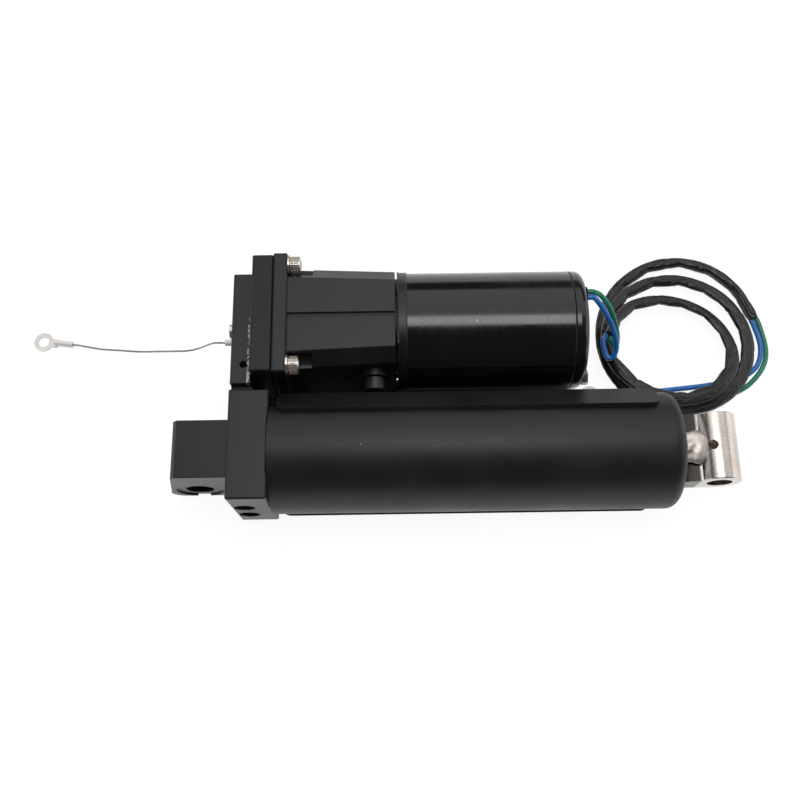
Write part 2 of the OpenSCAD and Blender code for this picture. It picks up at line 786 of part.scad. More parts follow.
module pump_cover() {
    color("#8e9092") placed() pump_axis() difference() {
        bevel_rod_x(flange_x, cover_d, cover_t, edge);
        rod_x(flange_x - over, shaft_d + 2 * fit, cover_t + 2 * over);
        translate([0, 0, -gear_gap]) rod_x(flange_x - over, shaft_d + 2 * fit, idler_l + over + seat_gap);
        for (p = pump_screw_places) translate([0, p[0], p[1]])
            rod_x(flange_x - over, pump_screw_d + 4 * fit, cover_t + 2 * over);
    }
}
module pump_screws() {
    color("#55575a") placed() pump_axis() for (p = pump_screw_places) translate([0, p[0], p[1]])
        cap_screw(flange_x + cover_t, pump_screw_d, cover_t + pump_t + pump_screw_bite - over,
            1.75 * pump_screw_d, pump_screw_d, 0.75 * pump_screw_d, pump_screw_d / 2);
}

// Shuttle spool with its two check valves, and the relief valve below them
module valve_axis(z) { translate([valve_line_x, motor_y, z]) rotate([0, 0, 90]) children(); }
module shuttle_spool() {
    land = spool_l / 4;
    color("#77797b") placed() valve_axis(shuttle_z) {
        for (x = [-spool_l / 2, spool_l / 2 - land]) rod_x(x, valve_bore_d - 2 * fit, land);
        rod_x(-spool_l / 2, valve_bore_d / 2, spool_l);
        rod_x(-pin_reach, spool_pin_d, 2 * pin_reach);
    }
}
module seat_places() {
    valve_axis(shuttle_z) children();
    valve_axis(shuttle_z) mirror([1, 0, 0]) children();
    valve_axis(relief_z) children();
}
module valve_seats() {
    color("#a08a4e") placed() seat_places() ring_x(seat_x, valve_bore_d - fit, seat_hole_d, seat_l);
}
module valve_balls() {
    color("#cfcfd1") placed() seat_places() translate([ball_x, 0, 0]) sphere(d = ball_d);
}
module valve_springs() {
    start = ball_x + ball_rest(ball_d, spring_d, spring_wire) + fit;
    color("#9c9c9e") placed() seat_places()
        spring_x(start, spring_d, spring_stop - start - fit, spring_wire, spring_turns);
}
module bore_plugs() {
    plug_end = plate_past - fine_edge;
    color("#5b5d60") placed() for (z = [shuttle_z, relief_z]) valve_axis(z) difference() {
        rod_x(spring_stop, valve_bore_d - fit, plug_end - spring_stop);
        hex_x(plug_end - plug_key_l, valve_bore_d / 2, plug_key_l + over);
    }
}

// Manual release valve, its clip, and the plug in the bore below it
module front_bore(z) { translate([port_x, -block_w / 2, z]) rotate([0, 0, 90]) children(); }
module release_valve() {
    seat = valve_sink + valve_head_l;
    color("#8c8e90") placed() front_bore(valve_z) difference() {
        union() {
            bevel_rod_x(valve_sink, port_d - 2 * fit, valve_head_l - fit, fine_edge);
            rod_x(valve_sink + edge, valve_stem_d, valve_stem_l + valve_head_l - edge - valve_tip_l);
            cone_x(seat + valve_stem_l - valve_tip_l, valve_stem_d, passage_d, valve_tip_l - fit);
        }
        translate([valve_sink - over, -port_d / 2, -slot_w / 2]) cube([slot_deep + over, port_d, slot_w]);
    }
}
module release_clip() {
    color("#6f7174") placed() front_bore(valve_z) difference() {
        ring_x(clip_sink, port_d + 2 * clip_bite - fit, port_d - 2 * clip_w, clip_t);
        translate([clip_sink - over, -clip_w, 0]) cube([clip_t + 2 * over, 2 * clip_w, port_d]);
    }
}
module port_plug() {
    color("#2e2e30") placed() front_bore(-plug_drop) difference() {
        bevel_rod_x(valve_sink, port_d - fit, plug_deep - valve_sink, fine_edge);
        hex_x(valve_sink - over, port_d / 2, valve_head_l + over);
    }
}

// Reservoir: flange, tapered eight-sided body, round collar and the motor's pilot
module taper_slab(side, side_end, turn) {
    rotate([turn, 0, 0]) translate([body_x - over, 0, -2 * body_up]) linear_extrude(4 * body_up)
        polygon([[0, -side], [taper_l + 2 * over, -side_end], [taper_l + 2 * over, side_end], [0, side]]);
}
module taper_body() {
    intersection() {
        taper_slab(body_side, body_side_end, 0);
        taper_slab(body_up, body_up, 90);
        taper_slab(corner_reach, corner_reach_end, 45);
        taper_slab(corner_reach, corner_reach_end, -45);
    }
}
module reservoir_solid() {
    fill_y = body_side + fill_boss_out;
    translate([flange_x, -flange_w / 2, -flange_w / 2]) bevel_box([flange_t, flange_w, flange_w], edge);
    taper_body();
    bevel_rod_x(collar_x, collar_d, collar_t, fine_edge);
    rod_x(can_x - over, 2 * can_bore_r - 2 * fit, pilot_l + over);
    rod_x(can_x - over, seal_pocket_d + 2 * boss_wall, boss_l + over);
    translate([collar_x - fill_back, 0, fill_up]) rod_y(-fill_y, fill_boss_d, fill_y);
}
module reservoir() {
    cone_x0 = flange_x + flange_t + cavity_step_l;
    cone_end = collar_x + collar_t - shaft_seal_l - end_wall;
    color("#2a2a2b") placed() pump_axis() difference() {
        reservoir_solid();
        each_corner() {
            rod_x(body_x, 2 * relief_r, relief_l);
            rod_x(flange_x - over, flange_screw_d + 4 * fit, flange_t + 2 * over);
        }
        rod_x(flange_x - over, cavity_d, cone_x0 - flange_x + over);
        cone_x(cone_x0 - fit, cavity_d - over, 2 * (body_side_end - cavity_wall), cone_end - cone_x0 + fit);
        rod_x(flange_x - over, shaft_d + over, can_x);
        rod_x(can_x - shaft_seal_l, seal_pocket_d, boss_l + shaft_seal_l + over);
        ring_x(flange_x - over, 2 * face_seal_r(1), 2 * face_seal_r(0) - 2 * fit, face_seal_t + over);
        translate([body_x, -body_side, body_up - step_deep]) cube([taper_l - neck_w, body_side, body_up]);
        translate([body_x, -step_groove_w, body_up - step_groove_deep]) cube([taper_l - neck_w,
            step_groove_w, body_up]);
        ring_x(collar_x - neck_w, 3 * body_up, 2 * (body_up - neck_deep), neck_w);
        for (y = [-bolt_off, bolt_off]) translate([0, y, 0])
            rod_x(can_x - bolt_bite, bolt_d + fit, bolt_bite + pilot_l + over);
        translate([collar_x - fill_back, 0, fill_up])
            rod_y(-body_side - fill_boss_out - over, fill_thread_d + fit, fill_thread_l + over);
        translate([collar_x - fill_back, 0, fill_up])
            rod_y(-body_side - fill_boss_out - over, fill_thread_d / 2, body_side);
    }
}
module reservoir_seal() {
    color("#161616") placed() pump_axis()
        ring_x(flange_x, 2 * face_seal_r(1) - 2 * fit, 2 * face_seal_r(0), face_seal_t - fit);
}
module flange_screws() {
    color("#cfc8c4") placed() pump_axis() each_corner()
        cap_screw(body_x + washer_t, flange_screw_d, flange_t + washer_t + flange_screw_bite - over,
            flange_head_d, flange_head_l, flange_key, flange_key_deep);
}
module flange_washers() {
    color("#d3cfcb") placed() pump_axis() each_corner() ring_x(body_x, washer_d, flange_screw_d + 2
        * fit, washer_t);
}
module fill_plug() {
    seat = body_side + fill_boss_out;
    color("#232324") placed() pump_axis() translate([collar_x - fill_back, -seat, fill_up])
        rotate([0, 0, 90]) difference() {
            union() {
                bevel_rod_x(-fill_head_l, fill_head_d, fill_head_l, fine_edge);
                rod_x(-over, fill_thread_d, fill_thread_l + over);
            }
            translate([-fill_head_l - over, -fill_head_d / 2, -slot_w / 2])
                cube([slot_deep + over, fill_head_d, slot_w]);
        }
}

// Rotor: shafts, coupling, core, windings and commutator
module shaft_seal() {
    color("#1b1b1b") placed() pump_axis() ring_x(can_x - shaft_seal_l, seal_pocket_d - fit, shaft_d
        + 2 * fit,
        shaft_seal_l - fit);
}
module front_bearing() {
    race = (seal_pocket_d - shaft_d) / 8;
    color("#b9babc") placed() pump_axis() difference() {
        ring_x(can_x, seal_pocket_d - fit, shaft_d + 2 * fit, bearing_l);
        for (x = [can_x - over, can_x + bearing_l - fine_edge])
            ring_x(x, seal_pocket_d - 2 * race, shaft_d + 2 * race, x < can_x ? over + fine_edge : over);
    }
}
module motor_shaft() {
    start = coupling_x + coupling_l / 2 + seat_gap;
    color("#a4a6a8") placed() pump_axis() bevel_rod_x(start, shaft_d, shaft_end - start, fine_edge);
}
module drive_coupling() {
    color("#6c6e71") placed() pump_axis() difference() {
        bevel_rod_x(coupling_x, coupling_d, coupling_l, edge);
        rod_x(coupling_x - over, shaft_d + fit, coupling_l + 2 * over);
    }
}
module slot_shape(w) {
    mouth_r = core_d / 2;
    translate([mouth_r - slot_depth - over, -w / 2]) square([slot_depth, w]);
}
module armature_core() {
    color("#5a5c5f") placed() pump_axis() difference() {
        rod_x(core_x, core_d, core_l);
        rod_x(core_x - over, shaft_d + fit, core_l + 2 * over);
        along_x(core_x - over) for (i = [0 : slots - 1]) rotate(360
            * i / slots) linear_extrude(core_l + 2 * over) {
            slot_shape(slot_width);
            translate([core_d / 2 - slot_depth, -slot_mouth / 2]) square([slot_depth + over, slot_mouth]);
        }
    }
}
module armature_windings() {
    band_d = core_d - 2 * over - fine_edge;
    hub_d = core_d - 3 * slot_depth;
    color("#a4572c") placed() pump_axis() {
        along_x(core_x - over) for (i = [0 : slots - 1]) rotate(360 * i / slots)
            linear_extrude(core_l + 2 * over) slot_shape(slot_width - 2 * fit);
        for (x = [core_x - winding_l, core_x + core_l + fit]) difference() {
            bevel_rod_x(x, band_d, winding_l - fit, 2 * over);
            rod_x(x - over, hub_d, winding_l + 2 * over);
        }
    }
}
module commutator() {
    bars = 2 * slots;
    color("#b06a3a") placed() pump_axis() difference() {
        rod_x(commutator_x, commutator_d, commutator_l);
        rod_x(commutator_x - over, shaft_d + fit, commutator_l + 2 * over);
        along_x(commutator_x - over) for (i = [0 : bars - 1]) rotate(360 * i / bars)
            translate([commutator_d / 2 - fine_edge, -fine_edge / 2, 0])
                cube([over, fine_edge, commutator_l - over]);
    }
}

// Motor can, its magnets and what the end cap carries
module motor_can() {
    color("#1c1c1d") placed() pump_axis() difference() {
        along_x(can_x) cylinder(d = can_d, h = can_l, $fn = 128);
        rod_x(can_x - over, 2 * can_bore_r, can_l + 2 * over);
    }
}
module motor_magnets() {
    color("#47484b") placed() pump_axis() for (a = [0, 180]) rotate([a, 0, 0]) intersection() {
        ring_x(core_x, 2 * can_bore_r - 2 * fit, 2 * (can_bore_r - magnet_t), core_l);
        rotate([90, 0, 90]) linear_extrude(can_x + can_l) polygon([[0, 0],
            [can_d * sin(magnet_span / 2), can_d * cos(magnet_span / 2)], [0, 2 * can_d],
            [-can_d * sin(magnet_span / 2), can_d * cos(magnet_span / 2)]]);
    }
}
module each_brush() {
    for (a = [0, 180]) rotate([a, 0, 0]) translate([brush_x, 0, commutator_d / 2 + brush_gap]) children();
}
guide_l = brush_l + brush_spring_l;
module brush_holder() {
    color("#4f3f2c") placed() pump_axis() {
        difference() {
            rod_x(card_x, 2 * can_bore_r - 2 * fit, card_t);
            rod_x(card_x - over, commutator_d + 2 * over, card_t + 2 * over);
            for (y = [-bolt_off, bolt_off]) translate([0, y, 0]) rod_x(card_x - over, bolt_d + 4
                * fit, card_t + 2 * over);
        }
        each_brush() difference() {
            translate([-brush_w / 2 - guide_wall, -brush_b / 2 - guide_wall, over])
                cube([card_x - brush_x + brush_w / 2 + guide_wall, brush_b + 2 * guide_wall, guide_l
                    + guide_wall]);
            translate([-brush_w / 2 - fit, -brush_b / 2 - fit, 0])
                cube([brush_w + 2 * fit, brush_b + 2 * fit, guide_l + fit]);
        }
    }
}
module brushes() {
    color("#3b3b3d") placed() pump_axis() difference() {
        each_brush() translate([-brush_w / 2, -brush_b / 2, -over]) cube([brush_w, brush_b, brush_l
            + over]);
        rod_x(commutator_x - over, commutator_d + 2 * brush_gap, commutator_l + 2 * over);
    }
}
module brush_springs() {
    color("#b08d57") placed() pump_axis() each_brush() translate([0, 0, brush_l]) rotate([0, -90, 0])
        spring_x(0, brush_w - 4 * fit, brush_spring_l, spring_wire, spring_turns);
}
module rear_bushing() {
    color("#a88f52") placed() pump_axis()
        ring_x(shaft_end - bushing_l + seat_gap, bushing_d, shaft_d + 2 * fit, bushing_l);
}
module motor_end_cap() {
    bushing_x = shaft_end - bushing_l + seat_gap;
    color("#202021") placed() pump_axis() difference() {
        union() {
            intersection() {
                along_x(cap_x) rotate_extrude($fn = 128) {
                    square([can_d / 2, cap_l - cap_r]);
                    square([can_d / 2 - cap_r, cap_l]);
                    translate([can_d / 2 - cap_r, cap_l - cap_r]) circle(cap_r);
                }
                rod_x(cap_x, can_d + over, cap_l + over);
            }
            rod_x(cap_x - cap_spigot_l, 2 * can_bore_r - 2 * fit, cap_spigot_l + over);
        }
        difference() {
            rod_x(cap_x - cap_spigot_l - over, 2 * (can_bore_r - can_wall), cap_end - cap_wall
                - cap_x + cap_spigot_l + over);
            rod_x(bushing_x, bushing_d + 2 * can_wall, cap_l + bushing_l);
            for (y = [-bolt_off, bolt_off]) translate([0, y, 0]) rod_x(cap_x - cap_spigot_l - over,
                2 * bolt_d, cap_l);
        }
        rod_x(bushing_x - over, bushing_d + fit, bushing_l + over);
        rod_x(bushing_x - over, shaft_d + over, shaft_end + over - bushing_x + seat_gap);
        for (y = [-bolt_off, bolt_off]) translate([0, y, 0]) {
            rod_x(cap_x - cap_spigot_l - over, bolt_d + 4 * fit, cap_l + cap_spigot_l + 2 * over);
            rod_x(cap_end - bolt_sink, bolt_head_w / cos(30) + over, bolt_sink + over);
        }
        grommet_at() rod_x(cap_x - over, grommet_neck_d + fit, cap_l + 2 * over);
    }
}
module motor_bolts() {
    start = can_x - bolt_bite + fine_edge;
    color("#3a3a3c") placed() pump_axis() for (y = [-bolt_off, bolt_off]) translate([0, y, 0]) {
        rod_x(start, bolt_d, cap_end - bolt_sink - start);
        hex_x(cap_end - bolt_sink, bolt_head_w, bolt_head_l);
    }
}
module grommet_at() { rotate([-grommet_tilt, 0, 0]) translate([0, 0, grommet_off]) children(); }
module wire_grommet() {
    color("#191919") placed() pump_axis() grommet_at() {
        rod_x(cap_end - cap_wall, grommet_neck_d, cap_wall);
        bevel_rod_x(cap_end, grommet_d, grommet_l, edge);
    }
}

// Harness: a blue and a green wire run from the motor into a sleeve, which lies in a coil,
// and leave its other end for their terminals behind the ram
exit_x = cap_end + grommet_l + seat_gap;
exit_y = motor_y + grommet_off * sin(grommet_tilt);
exit_z = motor_z + grommet_off * cos(grommet_tilt);
turn_start = 0.05;
turns_total = 2.45;
inner_turn_r = [35.9, 30.9];
turn_growth = [5.825, 8.725];
inner_centre = [256.9, 68.6];
outer_centre = [270.3, 81.9];
end_pull = 45;
end_bend = 2.15;
layer_rise = 12.4;
lift = 3.8;
lift_end = 2.15;
lift_fade = 0.3;
function turn_height(s) = let (w = (1 - cos(135 - 360 * s)) / 2,
        b = min(1, max(0, (lift_end - s) / lift_fade)))
    ground_z + sleeve_d / 2 + lift * b + layer_rise * max(0, 2 - s) * w;
function turn_place(s) = let (a = 180 - 360 * s, r = inner_turn_r + turn_growth * s,
        c = inner_centre + (outer_centre - inner_centre) * s / turns_total)
    [c.x + r.x * cos(a) - end_pull * pow(max(0, s - end_bend), 2), c.y + r.y * sin(a), turn_height(s)];
coil_rings = 60;
coil_path = [for (i = [0 : coil_rings]) turn_place(turn_start + (turns_total - turn_start)
    * i / coil_rings)];
start_way = heading(coil_path, 0);
end_way = heading(coil_path, coil_rings);
mouth_in = coil_path[0] - sleeve_d * start_way;
mouth_out = coil_path[coil_rings] + sleeve_d * end_way;
sleeve_path = concat([mouth_in], coil_path, [mouth_out]);
coil_gap = min([for (i = [0 : coil_rings - 12]) for (k = [i + 12 : coil_rings]) norm(coil_path[i]
    - coil_path[k])]);
echo(least_gap_of_the_coil_to_itself = coil_gap - sleeve_d);
function run_length(p, i = 1) = i >= len(p) ? 0 : norm(p[i] - p[i - 1]) + run_length(p, i + 1);
echo(sleeve_length = run_length(sleeve_path));

half_pair = wire_d / 2 + seat_gap / 2;
in_side = half_pair * unit(cross([0, 0, 1], start_way));
out_side = half_pair * unit(cross([0, 0, 1], end_way));
blue_in = mouth_in - seat_gap * start_way + in_side;
green_in = mouth_in - seat_gap * start_way - in_side;
blue_out = mouth_out + seat_gap * end_way - out_side;
green_out = mouth_out + seat_gap * end_way + out_side;
blue_lead_route = concat([[exit_x, exit_y - half_pair, exit_z], [exit_x + wire_d, exit_y - half_pair,
    exit_z]],
    [[208.9, 83.2, 20], [213.7, 78.7, 15], [218.1, 73.2, 9], [221.1, 67.4, 3], [222.3, 62.5, -3],
     [220.6, 58.9, -6.5], [217.2, 59.9, -7.2]],
    [blue_in - 2 * wire_d * start_way, blue_in - wire_d * start_way, blue_in]);
green_lead_route = concat([[exit_x, exit_y + half_pair, exit_z], [exit_x + wire_d, exit_y + half_pair,
    exit_z]],
    [[210.4, 87.5, 20], [215.9, 83.7, 14], [220, 78.5, 7.5], [222.8, 72.6, 0.2], [223.8, 68.4, -5.3],
     [223, 66.4, -8.2]],
    [green_in - wire_d * start_way, green_in]);
blue_tail_route = concat([blue_out, blue_out + wire_d * end_way],
    [[318.6, 76.4, -31], [318.4, 68.2, -32], [315.8, 61.6, -32.9], [310.5, 56.5, -32.9],
     [304.3, 53.3, -32.9], [294.8, 51, -32.9], [282.2, 48.9, -32.9], [272.8, 47.8, -32.9],
     [261.6, 46.7, -32.9], [250, 45.5, -32.9], [238, 44, -32.9], [234, 44, -32.4], [230, 44, -32.4]]);
green_tail_route = concat([green_out, green_out + wire_d * end_way],
    [[322.4, 76.4, -32.9], [321.9, 67.1, -32.9], [318.7, 59.6, -32.9], [313.2, 52.8, -32.9],
     [306.7, 47.4, -32.9], [297.5, 43, -32.9], [287.4, 40.3, -32.9], [278, 38.8, -32.9],
     [266, 35.5, -32.9], [255, 32, -32.9], [243, 30, -32.9], [234, 29, -32.4], [230, 29, -32.4]]);
module cord(p, d) { swept(smooth(p, 2), d, 8); }
module blue_lead() { color("#2456b0") placed() cord(blue_lead_route, wire_d); }
module green_lead() { color("#1f7d5c") placed() cord(green_lead_route, wire_d); }
module harness_coil() { color("#1d1d1e") placed() swept(sleeve_path, sleeve_d, 8); }
module blue_tail() { color("#2456b0") placed() cord(blue_tail_route, wire_d); }
module green_tail() { color("#1f7d5c") placed() cord(green_tail_route, wire_d); }
echo(blue_lead_length = run_length(smooth(blue_lead_route, 2)),
    blue_tail_length = run_length(smooth(blue_tail_route, 2)));
echo(green_lead_length = run_length(smooth(green_lead_route, 2)),
    green_tail_length = run_length(smooth(green_tail_route, 2)));

// Ring terminal lying flat: its crimp barrel starts at the origin and points back along X
tongue_t = 1;
barrel_l = 11;
terminal_neck_l = 2;
neck_w_share = 0.45;
module terminal(barrel_d) {
    middle = -barrel_l - terminal_neck_l - ring_d / 2;
    difference() {
        union() {
            translate([-barrel_l, 0, barrel_d / 2]) rod_x(0, barrel_d, barrel_l);
            translate([middle, 0, 0]) cylinder(d = ring_d, h = tongue_t);
            translate([middle, -ring_d * neck_w_share / 2, 0])
                cube([ring_d / 2 + terminal_neck_l + over, ring_d * neck_w_share, tongue_t]);
        }
        translate([middle, 0, -over]) cylinder(d = ring_hole_d, h = tongue_t + 2 * over);
    }
}
wire_barrel_d = 4.4;
module wire_terminals() {
    color("#c9c9cb") placed() for (p = [blue_tail_route, green_tail_route])
        translate([p[len(p) - 1].x, p[len(p) - 1].y, ground_z]) terminal(wire_barrel_d);
}

// Bonding wire from a screw on the pump plate to its own ring terminal
bond_barrel_d = 3.8;
bond_side = 1;
bond_y = motor_y - bond_side;
bond_z = 9;
bond_drop = 18;
bond_route = [[-10, 72.4, -9], [-13, 72.6, -9.2], [-18, 74, -13], [-24, 76, -22], [-31, 77, -30],
    [-38, 77, -33.4],
    [-46, 77, -34], [-56, 77, -34], [-68, 77, -34], [-80, 78, -34], [-92, 79, -34], [-102, 80.7, -33.4],
    [-106, 81.3, -32.7], [-110, 81.8, -32.7]];
ring_turn = -7.4;
bond_screw_d = 5;
bond_head_d = 9;
bond_head_l = 3.2;
bond_screw_l = 8;
bond_tab_l = 10;
module bond_frame() { translate([0, bond_y, bond_z]) mirror([1, 0, 0]) children(); }
module bond_screw() {
    color("#c4c5c7") placed() bond_frame() {
        difference() {
            bevel_rod_x(tongue_t, bond_head_d, bond_head_l, fine_edge);
            for (a = [0, 90]) rotate([a, 0, 0])
                translate([tongue_t + bond_head_l - slot_deep, -bond_head_d / 4, -slot_w / 2])
                    cube([bond_head_l, bond_head_d / 2, slot_w]);
        }
        rod_x(fine_edge - bond_screw_l, bond_screw_d, bond_screw_l - fine_edge + tongue_t + fine_edge);
    }
}
module bond_terminal() {
    color("#cbccce") placed() bond_frame() difference() {
        union() {
            rod_x(0, ring_d, tongue_t);
            translate([0, -ring_d * neck_w_share / 2, -bond_drop])
                cube([tongue_t, ring_d * neck_w_share, bond_drop]);
            translate([0, 0, -bond_drop]) rod_x(0, bond_barrel_d, bond_tab_l);
        }
        rod_x(-over, bond_screw_d + fit, tongue_t + 2 * over);
    }
}
module bond_wire() { color("#8f9094") placed() cord(bond_route, bond_d); }
module ring_terminal() {
    end = bond_route[len(bond_route) - 1];
    color("#cdccc9") placed() translate([end.x, end.y, ground_z]) rotate([0, 0,
        ring_turn]) terminal(bond_barrel_d);
}

manifold();
cylinder_tube();
tube_seals();
gland();
rod_seal();
rod_wiper();
memory_piston();
memory_seal();
piston_ring();
piston();
piston_nut();
shock_balls();
shock_springs();
rod();
rod_eye();
weld_bead();
pump_body();
drive_gear();
driven_gear();
pump_cover();
pump_screws();
shuttle_spool();
valve_seats();
valve_balls();
valve_springs();
bore_plugs();
release_valve();
release_clip();
port_plug();
reservoir();
reservoir_seal();
flange_screws();
flange_washers();
fill_plug();
shaft_seal();
front_bearing();
motor_shaft();
drive_coupling();
armature_core();
armature_windings();
commutator();
motor_can();
motor_magnets();
brush_holder();
brushes();
brush_springs();
rear_bushing();
motor_end_cap();
motor_bolts();
wire_grommet();
blue_lead();
green_lead();
harness_coil();
blue_tail();
green_tail();
wire_terminals();
bond_screw();
bond_terminal();
bond_wire();
ring_terminal();
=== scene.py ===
import math
import random

import bmesh
import bpy
from mathutils import Matrix, Vector, noise


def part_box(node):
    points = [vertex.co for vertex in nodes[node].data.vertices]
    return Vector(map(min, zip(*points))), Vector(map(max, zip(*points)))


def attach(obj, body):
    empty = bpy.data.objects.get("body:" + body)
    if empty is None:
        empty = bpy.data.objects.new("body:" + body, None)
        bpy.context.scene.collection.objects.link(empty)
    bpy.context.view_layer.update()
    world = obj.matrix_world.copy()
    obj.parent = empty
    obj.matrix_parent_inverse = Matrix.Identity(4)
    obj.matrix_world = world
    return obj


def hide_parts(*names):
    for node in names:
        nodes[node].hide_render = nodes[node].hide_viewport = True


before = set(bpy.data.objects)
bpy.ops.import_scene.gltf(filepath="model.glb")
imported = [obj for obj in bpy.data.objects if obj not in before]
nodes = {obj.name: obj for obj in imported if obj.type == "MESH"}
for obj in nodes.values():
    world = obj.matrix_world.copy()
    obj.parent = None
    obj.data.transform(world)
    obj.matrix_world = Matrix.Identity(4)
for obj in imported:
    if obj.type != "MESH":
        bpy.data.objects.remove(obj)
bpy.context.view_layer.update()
print("stage: frame loaded,", len(nodes), "nodes")

unitShift = Vector((22, 0, 15))  # the ram's own frame, in mm, sits here in the row frame


def toRow(points):
    return [(Vector(p) + unitShift) / 1000 for p in points]


# Camera: fitted to the photograph's edges, looking down at 72 degrees from the ram's side
cameraSet = {
    "place": (0.11607, -0.13615, 0.54838),
    "right": (0.999896, -0.013777, -0.004150),
    "up": (0.014387, 0.953554, 0.300879),
    "lens": 43.515,
    "sensor": 36,
    "clip": (0.01, 50),
}


def makeCamera(look):
    data = bpy.data.cameras.new("camera")
    data.lens, data.sensor_width = look["lens"], look["sensor"]
    data.clip_start, data.clip_end = look["clip"]
    right, up = Vector(look["right"]).normalized(), Vector(look["up"]).normalized()
    back = right.cross(up)
    turn = Matrix((right, up, back)).transposed().to_4x4()
    obj = bpy.data.objects.new("camera", data)
    obj.matrix_world = Matrix.Translation(Vector(look["place"])) @ turn
    bpy.context.scene.collection.objects.link(obj)
    bpy.context.scene.camera = obj


makeCamera(cameraSet)


# Harness and bonding wire: the same route points as the CAD solids
harness = {
    # mm in the ram's own frame; s counts the turns of the coil
    "groundZ": -34.6,
    "sleeveSize": 6.6,
    "wireSize": 3.2,
    "bondSize": 1.2,
    "turnStart": 0.05,
    "turns": 2.45,
    "innerRadius": (35.9, 30.9),  # in x and y, where the coil starts
    "growth": (5.825, 8.725),  # what each turn adds to them
    "innerCentre": (256.9, 68.6),
    "outerCentre": (270.3, 81.9),
    "endPull": 45,  # how sharply the end bends in, from turn endBend on
    "endBend": 2.15,
    "layerRise": 12.4,  # how high the turns before layerTurns climb over each other
    "layerTurns": 2,
    "layerStart": 135,  # degrees into a turn, where it lies lowest
    "lift": 3.8,  # held off the ground up to turn liftEnd, let down over liftFade of a turn
    "liftEnd": 2.15,
    "liftFade": 0.3,
    "rings": 60,  # points along the coil
    "exit": (202.3, 86.105, 23.855),  # the mouth of the grommet
    "gap": 0.3,  # between wire and wire, and wire and sleeve
}


def turnPlace(s, h):
    angle = math.radians(180 - 360 * s)
    rx, ry = (r + g * s for r, g in zip(h["innerRadius"], h["growth"]))
    cx, cy = (a + (b - a) * s / h["turns"] for a, b in zip(h["innerCentre"], h["outerCentre"]))
    pull = h["endPull"] * max(0, s - h["endBend"]) ** 2
    wave = (1 - math.cos(math.radians(h["layerStart"] - 360 * s))) / 2
    raised = min(1, max(0, (h["liftEnd"] - s) / h["liftFade"]))
    z = h["groundZ"] + h["sleeveSize"] / 2 + h["lift"] * raised
    z += h["layerRise"] * max(0, h["layerTurns"] - s) * wave
    return Vector((cx + rx * math.cos(angle) - pull, cy + ry * math.sin(angle), z))


def smoothLine(points, steps):
    line = []
    last = len(points) - 1
    for i in range(last):
        a, b = points[max(i - 1, 0)], points[i]
        c, d = points[i + 1], points[min(i + 2, last)]
        for k in range(steps):
            t = k / steps
            line.append(0.5 * (2 * b + (c - a) * t + (2 * a - 5 * b + 4 * c - d) * t * t
                               + (3 * b - a - 3 * c + d) * t ** 3))
    return line + [points[last].copy()]


def lineLength(line):
    return sum((b - a).length for a, b in zip(line, line[1:]))


def harnessRoutes(h):
    count = h["rings"]
    turnsAt = [h["turnStart"] + (h["turns"] - h["turnStart"]) * i / count for i in range(count + 1)]
    coil = [turnPlace(s, h) for s in turnsAt]
    startWay, endWay = (coil[1] - coil[0]).normalized(), (coil[-1] - coil[-2]).normalized()
    mouthIn = coil[0] - h["sleeveSize"] * startWay
    mouthOut = coil[-1] + h["sleeveSize"] * endWay
    wire, gap = h["wireSize"], h["gap"]
    half = wire / 2 + gap / 2
    up = Vector((0, 0, 1))
    inSide = half * up.cross(startWay).normalized()
    outSide = half * up.cross(endWay).normalized()
    leadIn, tailOut = mouthIn - gap * startWay, mouthOut + gap * endWay

    def lead(side, points, back, endPoint):
        start = Vector(h["exit"]) + Vector((0, side * half, 0))
        return ([start, start + Vector((wire, 0, 0))] + [Vector(p) for p in points]
                + [endPoint - k * wire * startWay for k in back] + [endPoint])

    def tail(startPoint, points):
        return [startPoint, startPoint + wire * endWay] + [Vector(p) for p in points]

    return {
        "sleeve": [mouthIn] + coil + [mouthOut],
        "blueLead": lead(-1, [(208.9, 83.2, 20), (213.7, 78.7, 15), (218.1, 73.2, 9),
                              (221.1, 67.4, 3), (222.3, 62.5, -3), (220.6, 58.9, -6.5),
                              (217.2, 59.9, -7.2)], (2, 1), leadIn + inSide),
        "greenLead": lead(1, [(210.4, 87.5, 20), (215.9, 83.7, 14), (220, 78.5, 7.5),
                              (222.8, 72.6, 0.2), (223.8, 68.4, -5.3), (223, 66.4, -8.2)], (1,),
                          leadIn - inSide),
        "blueTail": tail(tailOut - outSide, [(318.6, 76.4, -31), (318.4, 68.2, -32),
                                             (315.8, 61.6, -32.9), (310.5, 56.5, -32.9),
                                             (304.3, 53.3, -32.9), (294.8, 51, -32.9),
                                             (282.2, 48.9, -32.9), (272.8, 47.8, -32.9),
                                             (261.6, 46.7, -32.9), (250, 45.5, -32.9),
                                             (238, 44, -32.9), (234, 44, -32.4), (230, 44, -32.4)]),
        "greenTail": tail(tailOut + outSide, [(322.4, 76.4, -32.9), (321.9, 67.1, -32.9),
                                              (318.7, 59.6, -32.9), (313.2, 52.8, -32.9),
                                              (306.7, 47.4, -32.9), (297.5, 43, -32.9),
                                              (287.4, 40.3, -32.9), (278, 38.8, -32.9),
                                              (266, 35.5, -32.9), (255, 32, -32.9),
                                              (243, 30, -32.9), (234, 29, -32.4),
                                              (230, 29, -32.4)]),
        "bond": [Vector(p) for p in [(-10, 72.4, -9), (-13, 72.6, -9.2), (-18, 74, -13),
                                     (-24, 76, -22), (-31, 77, -30), (-38, 77, -33.4),
                                     (-46, 77, -34), (-56, 77, -34), (-68, 77, -34), (-80, 78, -34),
                                     (-92, 79, -34), (-102, 80.7, -33.4), (-106, 81.3, -32.7),
                                     (-110, 81.8, -32.7)]],
    }


